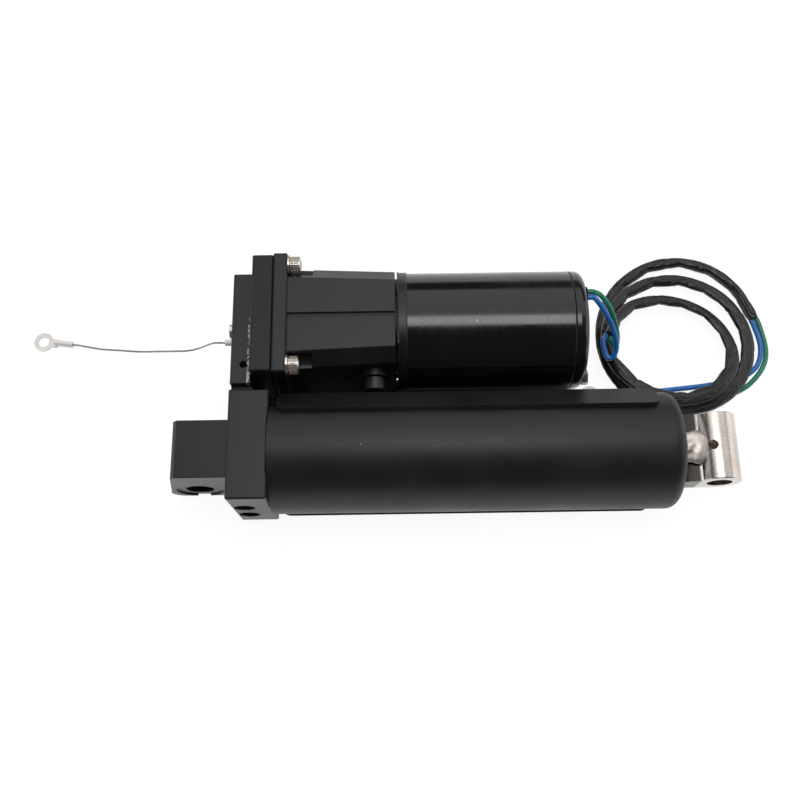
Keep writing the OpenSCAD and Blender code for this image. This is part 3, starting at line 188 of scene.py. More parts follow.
def meshObject(name, verts, faces, smooth=True):
    mesh = bpy.data.meshes.new(name)
    mesh.from_pydata([tuple(v) for v in verts], [], faces)
    mesh.update()
    work = bmesh.new()
    work.from_mesh(mesh)
    bmesh.ops.remove_doubles(work, verts=work.verts, dist=1e-7)
    bmesh.ops.recalc_face_normals(work, faces=work.faces)
    work.to_mesh(mesh)
    work.free()
    for poly in mesh.polygons:
        poly.use_smooth = smooth
    obj = bpy.data.objects.new(name, mesh)
    bpy.context.scene.collection.objects.link(obj)
    return obj


def framesAlong(line):
    # A tangent and two sides at each point, carried along so that they don't spin
    last = len(line) - 1
    pairs = [(line[max(i - 1, 0)], line[min(i + 1, last)]) for i in range(last + 1)]
    tangents = [(b - a).normalized() for a, b in pairs]
    side = Vector((0, 0, 1))
    if abs(tangents[0].z) > 0.9:
        side = Vector((1, 0, 0))
    frames = []
    for t in tangents:
        side = (side - t * side.dot(t)).normalized()
        frames.append((t, side, t.cross(side)))
    return frames


def ringFaces(rings, sides):
    # quads from ring to ring, and a lid at each end
    faces = []
    for i in range(rings - 1):
        for k in range(sides):
            a, b = i * sides + k, i * sides + (k + 1) % sides
            faces.append((a, b, b + sides, a + sides))
    last = (rings - 1) * sides
    return faces + [tuple(reversed(range(sides))), tuple(range(last, last + sides))]


def tubeAlong(name, line, shape, sides, mouth=None):
    # shape(i, angle) gives the distance from the line in metres
    frames = framesAlong(line)
    rings = []
    for i, (p, (tangent, up, across)) in enumerate(zip(line, frames)):
        rings.append([p + (up * math.cos(a) + across * math.sin(a)) * shape(i, a)
                      for a in [2 * math.pi * k / sides for k in range(sides)]])
    if mouth:
        # both ends stay open to this depth, behind a lip that is narrower by this share
        depth, share = mouth
        for end, sign in ((0, 1), (-1, -1)):
            centre = sum(rings[end], Vector()) / sides
            lip = [centre + (v - centre) * share for v in rings[end]]
            deep = [v + frames[end][0] * sign * depth for v in lip]
            rings = [deep, lip] + rings if end == 0 else rings + [lip, deep]
    return meshObject(name, [v for ring in rings for v in ring], ringFaces(len(rings), sides))


routes = harnessRoutes(harness)
wireLook = {"steps": 6, "sides": 14}


def plainWire(name, route, diameter, look):
    line = toRow(smoothLine(route, look["steps"]))
    return tubeAlong(name, line, lambda i, angle: diameter / 2000, look["sides"]), line


sleeveLook = {
    # mm across as the sleeve lies, against the turn that it has reached
    "widths": [(0.05, 6.0), (0.2, 7.6), (0.42, 8.4), (0.62, 8.8), (0.85, 7.6), (1.0, 6.8),
               (1.25, 8.0), (1.5, 8.8), (1.75, 8.8), (2.0, 7.2), (2.2, 7.0), (2.35, 6.6),
               (2.45, 5.4)],
    "around": 9.4,  # width and height squared add up to this squared: it keeps its girth
    "steps": 13,
    "sides": 44,
    "seed": 11,
    # its inner edge runs nearly straight from kink to kink
    "panelEvery": 15.0,  # mm
    "panelSpread": (0.6, 1.5),
    "bendRadius": 37.5,  # mm
    "kinkShare": 0.55,
    "bulgeFocus": 1.5,
    # it leans over in waves: size, length in mm, start
    "leans": ((0.35, 31, 0), (0.25, 13, 1)),
    "leanShare": 0.6,
    # wrinkles: depth in mm, fineness, sharpness, shift
    "folds": ((0.5, 1.0, 7, (0, 0, 0)), (0.2, 2.3, 6, (9, 4, 2))),
    "foldLength": 19.0,  # mm
    "foldTwist": 60,  # mm
    "foldsAround": 1.25,
    "foldShape": 1.4,
    "wander": (0.5, 0.7, (3, 7, 5)),  # slow swelling: depth in mm, fineness, shift
    "ends": (4, 0.94, 0.6),  # drawn in: over mm, to this share of the width, this strongly
    "mouth": (0.0016, 0.86),  # depth in metres, width of the lip
}


def tableValue(table, at):
    for (a, low), (b, high) in zip(table, table[1:]):
        if at <= b:
            t = min(1, max(0, (at - a) / (b - a)))
            return low + (high - low) * t * t * (3 - 2 * t)
    return table[-1][1]


def makeSleeve(look, route, h):
    line = toRow(smoothLine(route, look["steps"]))
    rng = random.Random(look["seed"])
    places = [0.0]
    for a, b in zip(line, line[1:]):
        places.append(places[-1] + (b - a).length * 1000)
    total = places[-1]
    kinks = [0.0]
    while kinks[-1] < total:
        kinks.append(kinks[-1] + rng.uniform(*look["panelSpread"]) * look["panelEvery"])
    shapes = []
    for s in places:
        turn = h["turnStart"] + (h["turns"] - h["turnStart"]) * s / total
        wide = tableValue(look["widths"], turn)
        high = math.sqrt(look["around"] ** 2 - wide ** 2)
        k = max(j for j, place in enumerate(kinks) if place <= s)
        panel = kinks[k + 1] - kinks[k]
        t = (s - kinks[k]) / panel
        bulge = panel ** 2 / (8 * look["bendRadius"]) * (4 * t * (1 - t) - look["kinkShare"])
        lean = sum(size * math.sin(s / length + start) for size, length, start in look["leans"])
        shapes.append((wide / 2, high / 2, bulge, lean))

    def shape(i, angle):
        # angle 0 is up, a quarter turn is towards the coil's middle
        s = places[i]
        wide, high, bulge, lean = shapes[i]
        a = angle + lean * look["leanShare"]
        r = wide * high / math.sqrt((wide * math.cos(a)) ** 2 + (high * math.sin(a)) ** 2)
        r += bulge * max(0, math.sin(angle)) ** look["bulgeFocus"]
        around = look["foldsAround"]
        spot = Vector((s / look["foldLength"], around * math.cos(angle),
                       around * math.sin(angle) + s / look["foldTwist"]))
        for depth, fineness, sharp, shift in look["folds"]:
            crease = abs(noise.noise(spot * fineness + Vector(shift))) * sharp
            r -= depth * max(0, 1 - crease) ** look["foldShape"]
        depth, fineness, shift = look["wander"]
        r += depth * noise.noise(spot * fineness + Vector(shift))
        reach, share, strength = look["ends"]
        edge = min(s, total - s)
        if edge < reach:
            r += (wide * share - r) * (1 - edge / reach) * strength
        return r / 1000

    # It lies down: its underside stays on the ground or on the turn below
    sunk = []
    for p, (wide, high, bulge, lean) in zip(line, shapes):
        low = math.sqrt((high * math.cos(lean)) ** 2 + (wide * math.sin(lean)) ** 2)
        sunk.append(p + Vector((0, 0, (low - h["sleeveSize"] / 2) / 1000)))
    return tubeAlong("harnessSleeve", sunk, shape, look["sides"], look["mouth"]), line


sleeve, sleeveLine = makeSleeve(sleeveLook, routes["sleeve"], harness)
wires = {name: plainWire(name, routes[name], harness["wireSize"], wireLook)
         for name in ("blueLead", "greenLead", "blueTail", "greenTail")}
print("stage: harness laid,", round(lineLength(sleeveLine), 3), "m of sleeve")


# Materials
def linear(hexColour):
    parts = [int(hexColour[i:i + 2], 16) / 255 for i in (1, 3, 5)]
    parts = [c / 12.92 if c <= 0.04045 else ((c + 0.055) / 1.055) ** 2.4 for c in parts]
    return (*parts, 1.0)


def addNode(tree, kind, values=None, **settings):
    node = tree.nodes.new(kind)
    for key, value in settings.items():
        setattr(node, key, value)
    for key, value in (values or {}).items():
        if isinstance(value, bpy.types.NodeSocket):
            tree.links.new(value, node.inputs[key])
        else:
            node.inputs[key].default_value = value
    return node


# colour and worn: the even colour and that of its worn patches; grain: size of the fine pattern
# along x, y and z in mm; relief: its height in mm; specks: mm between dust specks; edge: mm of
# rounding that catches light; shine: specular level, else 0.5; scuff, and the span of painted
# shade:
# where those marks lie, in metres; seam: the node at whose right end one lies
finishes = {
    # black paint over cast aluminium: even satin with a fine orange peel and a few dust specks
    "satinBlackPaintedCasting": {"colour": "#0d0d0f", "worn": "#141417", "rough": 0.4,
                                 "roughSpread": 0.07, "grain": (0.7, 0.7, 0.7), "relief": 0.012,
                                 "specks": 15, "edge": 0.8, "shine": 0.44,
                                 "scuff": ((0.0311, 0.0331), (0.034, 0.074))},
    # the same paint as a darker, less glossy copy, so that the pump body renders darker: painted
    # shade
    "shadedCopyBlackPaintedCasting": {"colour": "#0c0c0e", "worn": "#121215", "rough": 0.44,
                                "roughSpread": 0.07, "grain": (0.7, 0.7, 0.7), "relief": 0.012,
                                "specks": 19, "edge": 0.8, "shine": 0.36},
    # black anodised tube: a soft sheen with drawn lines along the ram, coarser than real so
    # that they show
    "satinBlackAnodisedTube": {"colour": "#101012", "worn": "#17171a", "rough": 0.46,
                               "roughSpread": 0.07, "grain": (9, 0.5, 0.5), "relief": 0.006,
                               "specks": 17, "edge": 0.35, "shine": 0.42},
    # gloss black paint on rolled steel: sharp highlights broken by rings round the can,
    # coarser than real so that they show
    "glossBlackPaintedSteel": {"colour": "#070708", "worn": "#0b0b0c", "rough": 0.17,
                               "roughSpread": 0.08, "grain": (1.1, 30, 30), "relief": 0.004,
                               "specks": 30, "seam": "motor_can"},
    # stainless or zinc screws: bright with a warm grey cast
    "zincPlatedSteel": {"colour": "#d8d2cc", "worn": "#b9b2ab", "rough": 0.27, "roughSpread": 0.1,
                        "grain": (0.5, 0.5, 0.5), "relief": 0.01, "metal": 1},
    # turned steel eye: tool lines round its own axis, coarser than real so that they show, and
    # painted shade darkening it towards the rod
    "turnedBrightSteel": {"colour": "#d9d2cc", "worn": "#c3bbb4", "rough": 0.24, "roughSpread": 0.1,
                          "grain": (14, 0.35, 14), "relief": 0.003, "metal": 1,
                          "paintedShadeSpan": (0.2848, 0.283)},
    # weld metal: lumpy, silvery, scaled here and there
    "bareWeldMetal": {"colour": "#e2ddd8", "worn": "#b9b2ab", "rough": 0.52, "roughSpread": 0.12,
                      "grain": (1.6, 1.6, 1.6), "relief": 0.03, "metal": 1},
    # hard chrome, ground and polished: mirror bright
    "hardChromedSteel": {"colour": "#dcdddf", "worn": "#d2d3d5", "rough": 0.08, "roughSpread": 0.04,
                         "grain": (0.4, 6, 6), "relief": 0.001, "metal": 1},
    # turned and milled aluminium: pale, with soft tool marks
    "machinedAluminium": {"colour": "#c6c8ca", "worn": "#aeb0b3", "rough": 0.32, "roughSpread": 0.1,
                          "grain": (0.4, 8, 8), "relief": 0.005, "metal": 1},
    # hardened steel, ground: an even grey gloss
    "groundSteel": {"colour": "#a9abad", "worn": "#8f9194", "rough": 0.22, "roughSpread": 0.08,
                    "grain": (0.4, 5, 5), "relief": 0.003, "metal": 1},
    # drawn spring wire: darker and a little dull
    "springSteel": {"colour": "#8f9094", "worn": "#75767a", "rough": 0.3, "roughSpread": 0.1,
                    "grain": (1, 1, 1), "relief": 0.004, "metal": 1},
    # steel blacked in a hot bath: dark and half dull
    "blackOxideSteel": {"colour": "#26272a", "worn": "#38393c", "rough": 0.42, "roughSpread": 0.1,
                        "grain": (0.8, 0.8, 0.8), "relief": 0.008, "metal": 0.6},
    # bearing bronze, turned: warm brown yellow
    "machinedBronze": {"colour": "#a98546", "worn": "#8e6c34", "rough": 0.32, "roughSpread": 0.1,
                       "grain": (0.4, 5, 5), "relief": 0.004, "metal": 1},
    # drawn copper bars: orange red, wiped by the brushes
    "bareCopper": {"colour": "#b8693f", "worn": "#96502c", "rough": 0.3, "roughSpread": 0.1,
                   "grain": (0.5, 3, 3), "relief": 0.004, "metal": 1},
    # enamelled wire: dark amber gloss, ribbed by its turns
    "enamelledCopperWire": {"colour": "#8e3f17", "worn": "#6a2c0e", "rough": 0.25,
                            "roughSpread": 0.08, "grain": (8, 0.9, 0.9), "relief": 0.15,
                            "metal": 0.5},
    # tinned copper lugs: pale, with a dull gloss
    "tinnedCopper": {"colour": "#ece9e6", "worn": "#dcd9d5", "rough": 0.42, "roughSpread": 0.12,
                     "grain": (0.8, 0.8, 0.8), "relief": 0.006, "metal": 0.35},
    # nitrile rubber, moulded: matt black
    "mouldedRubber": {"colour": "#151516", "worn": "#1e1e1f", "rough": 0.62, "roughSpread": 0.1,
                      "grain": (0.5, 0.5, 0.5), "relief": 0.01},
    # nylon, moulded: black with a low sheen
    "mouldedBlackNylon": {"colour": "#111112", "worn": "#19191a", "rough": 0.38,
                          "roughSpread": 0.08, "grain": (0.6, 0.6, 0.6), "relief": 0.01},
    # pressed carbon: dark grey and dull
    "brushCarbon": {"colour": "#232325", "worn": "#303033", "rough": 0.6, "roughSpread": 0.1,
                    "grain": (0.4, 0.4, 0.4), "relief": 0.01},
    # sintered magnets: charcoal, fine grained and dull
    "sinteredFerrite": {"colour": "#2b2c2f", "worn": "#38393c", "rough": 0.55, "roughSpread": 0.1,
                        "grain": (0.8, 0.8, 0.8), "relief": 0.01},
    # paper laminate: brown, with a faint grain of its layers
    "laminatedPhenolic": {"colour": "#4a3220", "worn": "#392515", "rough": 0.45,
                          "roughSpread": 0.08, "grain": (0.3, 3, 3), "relief": 0.006},
    # stamped sheets in a stack: grey, with their edges showing
    "stackedCoreSteel": {"colour": "#6c6e71", "worn": "#4c4e51", "rough": 0.4, "roughSpread": 0.1,
                         "grain": (0.5, 20, 20), "relief": 0.03, "metal": 1},
    # insulated leads: extruded vinyl, smooth with a soft sheen
    "extrudedBlueVinyl": {"colour": "#1a64b2", "worn": "#16549a", "rough": 0.3, "roughSpread": 0.06,
                          "grain": (3, 3, 3), "relief": 0.01},
    "extrudedGreenVinyl": {"colour": "#16755a", "worn": "#12614a", "rough": 0.3,
                           "roughSpread": 0.06, "grain": (3, 3, 3), "relief": 0.01},
    # vinyl sleeve: thin black tube, wrinkled by the bends, with a soft greasy sheen
    "wrinkledBlackVinyl": {"colour": "#111112", "worn": "#1b1b1c", "rough": 0.4, "roughSpread": 0.1,
                           "grain": (2.2, 2.2, 2.2), "relief": 0.05},
    # fine tinned strands, dulled by the air
    "tinnedCopperStrand": {"colour": "#a9a6a2", "worn": "#8f8c88", "rough": 0.4, "roughSpread": 0.1,
                           "grain": (0.8, 0.8, 0.8), "relief": 0.01, "metal": 0.5},
}


# Marks and patterns that several finishes share
marks = {
    "patchSize": 26,  # mm, of the worn patches
    "patchRange": (0.35, 0.7),
    "roughRange": (0.6, 1.4),
    "speckEdge": (0.02, 0.012),  # share of a cell
    "speckStrength": 0.6,
    # painted shade on the eye's shank, beside the black tube
    "dust": "#b9b6b2",
    "paintedShadeColour": "#3a3837",
    "rubbed": "#a19e9a",
    "rubSize": 2.2,  # mm
    "rubRange": (0.48, 0.54),
    "rubFade": 0.0004,  # m
    "groove": (0.0002, 0.0005),  # m from its middle: floor and rim
    "grooveDepth": 0.0004,  # m
    "edgeSamples": 4,
}


def spanMask(tree, axes, spans, fade, mask=1.0):
    # one inside the spans of x and y and zero outside, with a soft rim
    for axis, (low, high) in zip("XY", spans):
        for start, end in ((low, low + fade), (high, high - fade)):
            side = addNode(tree, "ShaderNodeMapRange", {"Value": axes[axis], "From Min": start,
                                                        "From Max": end})
            mask = addNode(tree, "ShaderNodeMath", {0: mask, 1: side.outputs[0]},
                           operation="MULTIPLY").outputs[0]
    return mask


def makeFinish(name, look):
    material = bpy.data.materials.new(name)
    material.use_nodes = True
    tree = material.node_tree
    shader = tree.nodes["Principled BSDF"]
    shader.inputs["Metallic"].default_value = look.get("metal", 0)
    shader.inputs["Specular IOR Level"].default_value = look.get("shine", 0.5)
    place = addNode(tree, "ShaderNodeTexCoord").outputs["Object"]
    axes = addNode(tree, "ShaderNodeSeparateXYZ", {"Vector": place}).outputs
    scaled = addNode(tree, "ShaderNodeMapping", {"Vector": place,
                                                 "Scale": tuple(1000 / g for g in look["grain"])})
    grain = addNode(tree, "ShaderNodeTexNoise", {"Vector": scaled.outputs[0], "Scale": 1.0,
                                                 "Detail": 2.0})
    broad = addNode(tree, "ShaderNodeTexNoise", {"Vector": place,
                                                 "Scale": 1000 / marks["patchSize"],
                                                 "Detail": 3.0})
    low, high = marks["patchRange"]
    patch = addNode(tree, "ShaderNodeMapRange", {"Value": broad.outputs[0], "From Min": low,
                                                 "From Max": high})
    layers = [(patch.outputs[0], look["worn"])]
    if look.get("specks"):
        cells = addNode(tree, "ShaderNodeTexVoronoi", {"Vector": place,
                                                       "Scale": 1000 / look["specks"]})
        outer, inner = marks["speckEdge"]
        near = addNode(tree, "ShaderNodeMapRange", {"Value": cells.outputs["Distance"],
                                                    "From Min": outer,
                                                    "From Max": inner,
                                                    "To Max": marks["speckStrength"]})
        layers.append((near.outputs[0], marks["dust"]))
    if look.get("paintedShadeSpan"):
        # painted shade: the eye's steel darkened towards the rod, over its shank beside the tube,
        # fading along the ram
        start, end = look["paintedShadeSpan"]
        near = addNode(tree, "ShaderNodeMapRange", {"Value": axes["X"], "From Min": start,
                                                    "From Max": end})
        layers.append((near.outputs[0], marks["paintedShadeColour"]))
    if look.get("scuff"):
        # paint rubbed off in specks along the joint: a narrow strip, broken up by coarse noise
        spots = addNode(tree, "ShaderNodeTexNoise", {"Vector": place,
                                                     "Scale": 1000 / marks["rubSize"],
                                                     "Detail": 4.0})
        low, high = marks["rubRange"]
        spots = addNode(tree, "ShaderNodeMapRange", {"Value": spots.outputs[0], "From Min": low,
                                                     "From Max": high})
        strip = spanMask(tree, axes, look["scuff"], marks["rubFade"], spots.outputs[0])
        layers.append((strip, marks["rubbed"]))
    colour = linear(look["colour"])
    for factor, tint in layers:
        colour = addNode(tree, "ShaderNodeMix", {"Factor": factor, "A": colour, "B": linear(tint)},
                         data_type="RGBA").outputs["Result"]
    tree.links.new(colour, shader.inputs["Base Color"])
    both = addNode(tree, "ShaderNodeMath", {0: grain.outputs[0], 1: broad.outputs[0]},
                   operation="ADD")
    spread = look["roughSpread"]
    low, high = marks["roughRange"]
    rough = addNode(tree, "ShaderNodeMapRange", {"Value": both.outputs[0], "From Min": low,
                                                 "From Max": high, "To Min": look["rough"] - spread,
                                                 "To Max": look["rough"] + spread})
    bump = addNode(tree, "ShaderNodeBump", {"Height": grain.outputs[0], "Strength": 1.0,
                                            "Distance": look["relief"] / 1000})
    if look.get("seam"):
        # where the end cap meets the can: a fine groove that breaks the highlight
        away = addNode(tree, "ShaderNodeMath", {0: axes["X"], 1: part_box(look["seam"])[1][0]},
                       operation="SUBTRACT")
        away = addNode(tree, "ShaderNodeMath", {0: away.outputs[0]}, operation="ABSOLUTE")
        start, end = marks["groove"]
        height = addNode(tree, "ShaderNodeMapRange", {"Value": away.outputs[0], "From Min": start,
                                                      "From Max": end})
        dull = addNode(tree, "ShaderNodeMapRange", {"Value": height.outputs[0], "To Min": 1.0,
                                                    "To Max": 0.0})
        rough = addNode(tree, "ShaderNodeMath", {0: rough.outputs[0], 1: dull.outputs[0]},
                        operation="MAXIMUM")
        bump = addNode(tree, "ShaderNodeBump", {"Height": height.outputs[0],
                                                "Normal": bump.outputs[0],
                                                "Distance": marks["grooveDepth"]})
    if look.get("edge"):
        # edges broken by hand before painting: they catch a thin line of light
        softened = addNode(tree, "ShaderNodeBevel", {"Radius": look["edge"] / 1000},
                           samples=marks["edgeSamples"])
        tree.links.new(softened.outputs[0], bump.inputs["Normal"])
    tree.links.new(rough.outputs[0], shader.inputs["Roughness"])
    tree.links.new(bump.outputs[0], shader.inputs["Normal"])
    return material


materials = {name: makeFinish(name, look) for name, look in finishes.items()}

nodeFinishes = {
    "satinBlackPaintedCasting": ["manifold", "reservoir"],
    # painted shade: the pump body gets a darker, less glossy copy of the casting paint
    "shadedCopyBlackPaintedCasting": ["pump_body"],
    "satinBlackAnodisedTube": ["cylinder_tube"],
    "glossBlackPaintedSteel": ["motor_can", "motor_end_cap"],
    "zincPlatedSteel": ["flange_screws", "flange_washers", "bond_screw", "bore_plugs",
                        "release_valve", "piston_nut", "motor_bolts"],
    "turnedBrightSteel": ["rod_eye"],
    "bareWeldMetal": ["weld_bead"],
    "hardChromedSteel": ["rod"],
    "machinedAluminium": ["gland", "memory_piston", "piston", "pump_cover"],
    "groundSteel": ["shock_balls", "drive_gear", "driven_gear", "shuttle_spool", "valve_balls",
                    "motor_shaft", "front_bearing"],
    "springSteel": ["shock_springs", "valve_springs", "brush_springs", "release_clip"],
    "blackOxideSteel": ["pump_screws", "port_plug", "drive_coupling"],
    "machinedBronze": ["valve_seats", "rear_bushing"],
    "bareCopper": ["commutator"],
    "enamelledCopperWire": ["armature_windings"],
    "tinnedCopper": ["wire_terminals", "bond_terminal", "bond_wire", "ring_terminal"],
    "mouldedRubber": ["tube_seals", "rod_seal", "rod_wiper", "memory_seal", "reservoir_seal",
                      "shaft_seal", "wire_grommet"],
    "mouldedBlackNylon": ["piston_ring", "fill_plug"],
    "brushCarbon": ["brushes"],
    "sinteredFerrite": ["motor_magnets"],
    "laminatedPhenolic": ["brush_holder"],
    "stackedCoreSteel": ["armature_core"],
    "extrudedBlueVinyl": ["blue_lead", "blue_tail"],
    "extrudedGreenVinyl": ["green_lead", "green_tail"],
    "wrinkledBlackVinyl": ["harness_coil"],
}


def setFinish(obj, name):
    obj.data.materials.clear()
    obj.data.materials.append(materials[name])


for finishName, nodeNames in nodeFinishes.items():
    for nodeName in nodeNames:
        setFinish(nodes[nodeName], finishName)
print("stage: finishes on", sum(len(v) for v in nodeFinishes.values()), "nodes")


# Weld between the rod and the eye: a lumpy collar in place of the plain bead
weldLook = {
    "rings": 26,
    "sides": 56,
    "fullness": 0.86,  # share of the bead's box that it fills
    "limits": (0.6, 0.99),  # the least and the most that its lumps may make of that
    "reach": 0.98,
    "lumpSize": 5.2,  # mm
    "lumpDepth": 0.22,
    "fineSize": 2.2,  # mm
    "fineDepth": 0.04,
}


def makeWeld(look):
    low, high = (Vector(c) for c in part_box("weld_bead"))
    middle, half = (low + high) / 2, (high - low) / 2
    least, most = look["limits"]
    verts = []
    for i in range(look["rings"]):
        t = -1 + 2 * (i + 0.5) / look["rings"]
        for k in range(look["sides"]):
            a = 2 * math.pi * k / look["sides"]
            spot = Vector((half.x * t, half.y * math.cos(a), half.z * math.sin(a))) * 1000
            swell = look["fullness"] * (1 - t ** 4) ** 0.25
            swell += look["lumpDepth"] * noise.noise(spot / look["lumpSize"] + Vector((5, 1, 2)))
            swell += look["fineDepth"] * noise.noise(spot / look["fineSize"])
            swell = min(most, max(least, swell))
            verts.append(middle + Vector((half.x * t * look["reach"], half.y * swell * math.cos(a),
                                          half.z * swell * math.sin(a))))
    return meshObject("weldCollar", verts, ringFaces(look["rings"], look["sides"]))


weld = makeWeld(weldLook)
setFinish(weld, "bareWeldMetal")
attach(weld, "ram")
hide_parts("weld_bead")
print("stage: weld laid")


# Cords: each piece rides on the unit and stands for its CAD solid
cordFacts = {
    "blueLead": ("blue_lead", "extrudedBlueVinyl", "blue_wire", []),
    "greenLead": ("green_lead", "extrudedGreenVinyl", "green_wire", []),
    "blueTail": ("blue_tail", "extrudedBlueVinyl", "blue_wire", ["wire_terminals"]),
    "greenTail": ("green_tail", "extrudedGreenVinyl", "green_wire", ["wire_terminals"]),
}
for wireName, (nodeName, finishName, slotName, others) in cordFacts.items():
    obj, line = wires[wireName]
    setFinish(obj, finishName)
    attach(obj, "unit")
    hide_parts(nodeName)
setFinish(sleeve, "wrinkledBlackVinyl")
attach(sleeve, "unit")
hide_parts("harness_coil")


# Geometry Nodes: a tree with named inputs, its ending, and a run that keeps a plain mesh
def newTree(name, inputs):
    tree = bpy.data.node_groups.new(name, "GeometryNodeTree")
    for label, kind in {"Geometry": "Geometry", **inputs, "Finish": "Material"}.items():
        tree.interface.new_socket(label, in_out="INPUT", socket_type="NodeSocket" + kind)
    tree.interface.new_socket("Geometry", in_out="OUTPUT", socket_type="NodeSocketGeometry")
    return tree, addNode(tree, "NodeGroupInput").outputs


def endTree(tree, geometry, finish):
    whole = addNode(tree, "GeometryNodeRealizeInstances", {"Geometry": geometry})
    done = addNode(tree, "GeometryNodeSetMaterial", {"Geometry": whole.outputs[0],
                                                     "Material": finish})
    addNode(tree, "NodeGroupOutput", {"Geometry": done.outputs[0]})
    return tree


def runTree(name, source, tree, values):
    holder = bpy.data.objects.new(name + "Source", source)
    bpy.context.scene.collection.objects.link(holder)
    modifier = holder.modifiers.new(name, "NODES")
    modifier.node_group = tree
    sockets = {s.name: s.identifier for s in tree.interface.items_tree if s.item_type == "SOCKET"
               and s.in_out == "INPUT"}
    for key, value in values.items():
        modifier[sockets[key]] = value
    bpy.context.view_layer.update()
    shown = holder.evaluated_get(bpy.context.evaluated_depsgraph_get())
    mesh = bpy.data.meshes.new_from_object(shown)
    mesh.name = name
    bpy.data.objects.remove(holder)
    obj = bpy.data.objects.new(name, mesh)
    bpy.context.scene.collection.objects.link(obj)
    return obj


# Knurling round the heads of the four flange screws: coarser than a real one, so that it shows
knurlLook = {
    # sizes in mm
    "ridges": 34,
    "ridgeSize": 0.3,
    "ridgeSides": 4,
    "headRadius": 4.93,
    "headLength": 6.0,
    "length": 4.6,
    "screwOffset": 30.0,  # from the motor's axis, both ways
    "motorAxis": (73.4, 16.4),
}


def knurlTree(look):
    tree, start = newTree("knurledHeads", {"Ridges": "Int", "Ridge Radius": "Float",
                                           "Head Radius": "Float", "Length": "Float"})
    circle = addNode(tree, "GeometryNodeMeshCircle", {"Vertices": start["Ridges"],
                                                      "Radius": start["Head Radius"]})
    ridge = addNode(tree, "GeometryNodeMeshCylinder", {"Vertices": look["ridgeSides"],
                                                       "Radius": start["Ridge Radius"],
                                                       "Depth": start["Length"]})
    ring = addNode(tree, "GeometryNodeInstanceOnPoints", {"Points": circle.outputs[0],
                                                          "Instance": ridge.outputs[0]})
    heads = addNode(tree, "GeometryNodeInstanceOnPoints", {"Points": start["Geometry"],
                                                           "Instance": ring.outputs[0],
                                                           "Rotation": (0, math.pi / 2, 0)})
    return endTree(tree, heads.outputs[0], start["Finish"])


def headPlaces(look):
    mesh = bpy.data.meshes.new("headPlaces")
    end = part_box("flange_screws")[1][0]
    y, z = (c / 1000 for c in look["motorAxis"])
    off = look["screwOffset"] / 1000
    middle = end - look["headLength"] / 2000
    mesh.from_pydata([(middle, y + a * off, z + b * off) for a in (-1, 1) for b in (-1, 1)], [], [])
    return mesh


knurls = runTree("knurledHeads", headPlaces(knurlLook), knurlTree(knurlLook), {
    "Ridges": knurlLook["ridges"], "Ridge Radius": knurlLook["ridgeSize"] / 1000,
    "Head Radius": knurlLook["headRadius"] / 1000, "Length": knurlLook["length"] / 1000,
    "Finish": materials["zincPlatedSteel"]})
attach(knurls, "unit")
print("stage: screw heads knurled")


# Bonding wire: seven tinned strands laid round each other
bondLook = {
    "steps": 14,
    "strands": 7,
    "strandSize": 0.42,  # mm
    "strandSides": 6,
    "layRadius": 0.37,  # mm
    "turnsPerMetre": 110,
}


def bondTree(look):
    tree, start = newTree("twistedStrands", {"Strands": "Int", "Strand Radius": "Float",
                                             "Lay Radius": "Float", "Turns Per Metre": "Float"})
    curve = addNode(tree, "GeometryNodeMeshToCurve", {"Mesh": start["Geometry"]})
    copies = addNode(tree, "GeometryNodeDuplicateElements", {"Geometry": curve.outputs[0],
                                                            "Amount": start["Strands"]},
                     domain="SPLINE")
    share = addNode(tree, "ShaderNodeMath", {0: copies.outputs[1], 1: start["Strands"]},
                    operation="DIVIDE")
    run = addNode(tree, "GeometryNodeSplineParameter")
    wound = addNode(tree, "ShaderNodeMath", {0: run.outputs["Length"], 1: start["Turns Per Metre"],
                                             2: share.outputs[0]}, operation="MULTIPLY_ADD")
    angle = addNode(tree, "ShaderNodeMath", {0: wound.outputs[0], 1: 2 * math.pi},
                    operation="MULTIPLY")
    tangent = addNode(tree, "GeometryNodeInputTangent")
    normal = addNode(tree, "GeometryNodeInputNormal")
    turned = addNode(tree, "ShaderNodeVectorRotate", {"Vector": normal.outputs[0],
                                                      "Axis": tangent.outputs[0],
                                                      "Angle": angle.outputs[0]})
    offset = addNode(tree, "ShaderNodeVectorMath", {0: turned.outputs[0],
                                                    "Scale": start["Lay Radius"]},
                     operation="SCALE")
    moved = addNode(tree, "GeometryNodeSetPosition", {"Geometry": copies.outputs[0],
                                                      "Offset": offset.outputs[0]})
    ring = addNode(tree, "GeometryNodeCurvePrimitiveCircle", {"Resolution": look["strandSides"],
                                                              "Radius": start["Strand Radius"]})
    tube = addNode(tree, "GeometryNodeCurveToMesh", {"Curve": moved.outputs[0], "Fill Caps": True,
                                                     "Profile Curve": ring.outputs[0]})
    soft = addNode(tree, "GeometryNodeSetShadeSmooth", {"Geometry": tube.outputs[0]})
    return endTree(tree, soft.outputs[0], start["Finish"])


def edgeLine(name, line):
    mesh = bpy.data.meshes.new(name)
    mesh.from_pydata([tuple(p) for p in line], [(i, i + 1) for i in range(len(line) - 1)], [])
    return mesh


bondLine = toRow(smoothLine(routes["bond"], bondLook["steps"]))
bondWire = runTree("bondingWire", edgeLine("bondLine", bondLine), bondTree(bondLook), {
    "Strands": bondLook["strands"], "Strand Radius": bondLook["strandSize"] / 2000,
    "Lay Radius": bondLook["layRadius"] / 1000, "Turns Per Metre": float(bondLook["turnsPerMetre"]),
    "Finish": materials["tinnedCopperStrand"]})
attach(bondWire, "unit")
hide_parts("bond_wire")


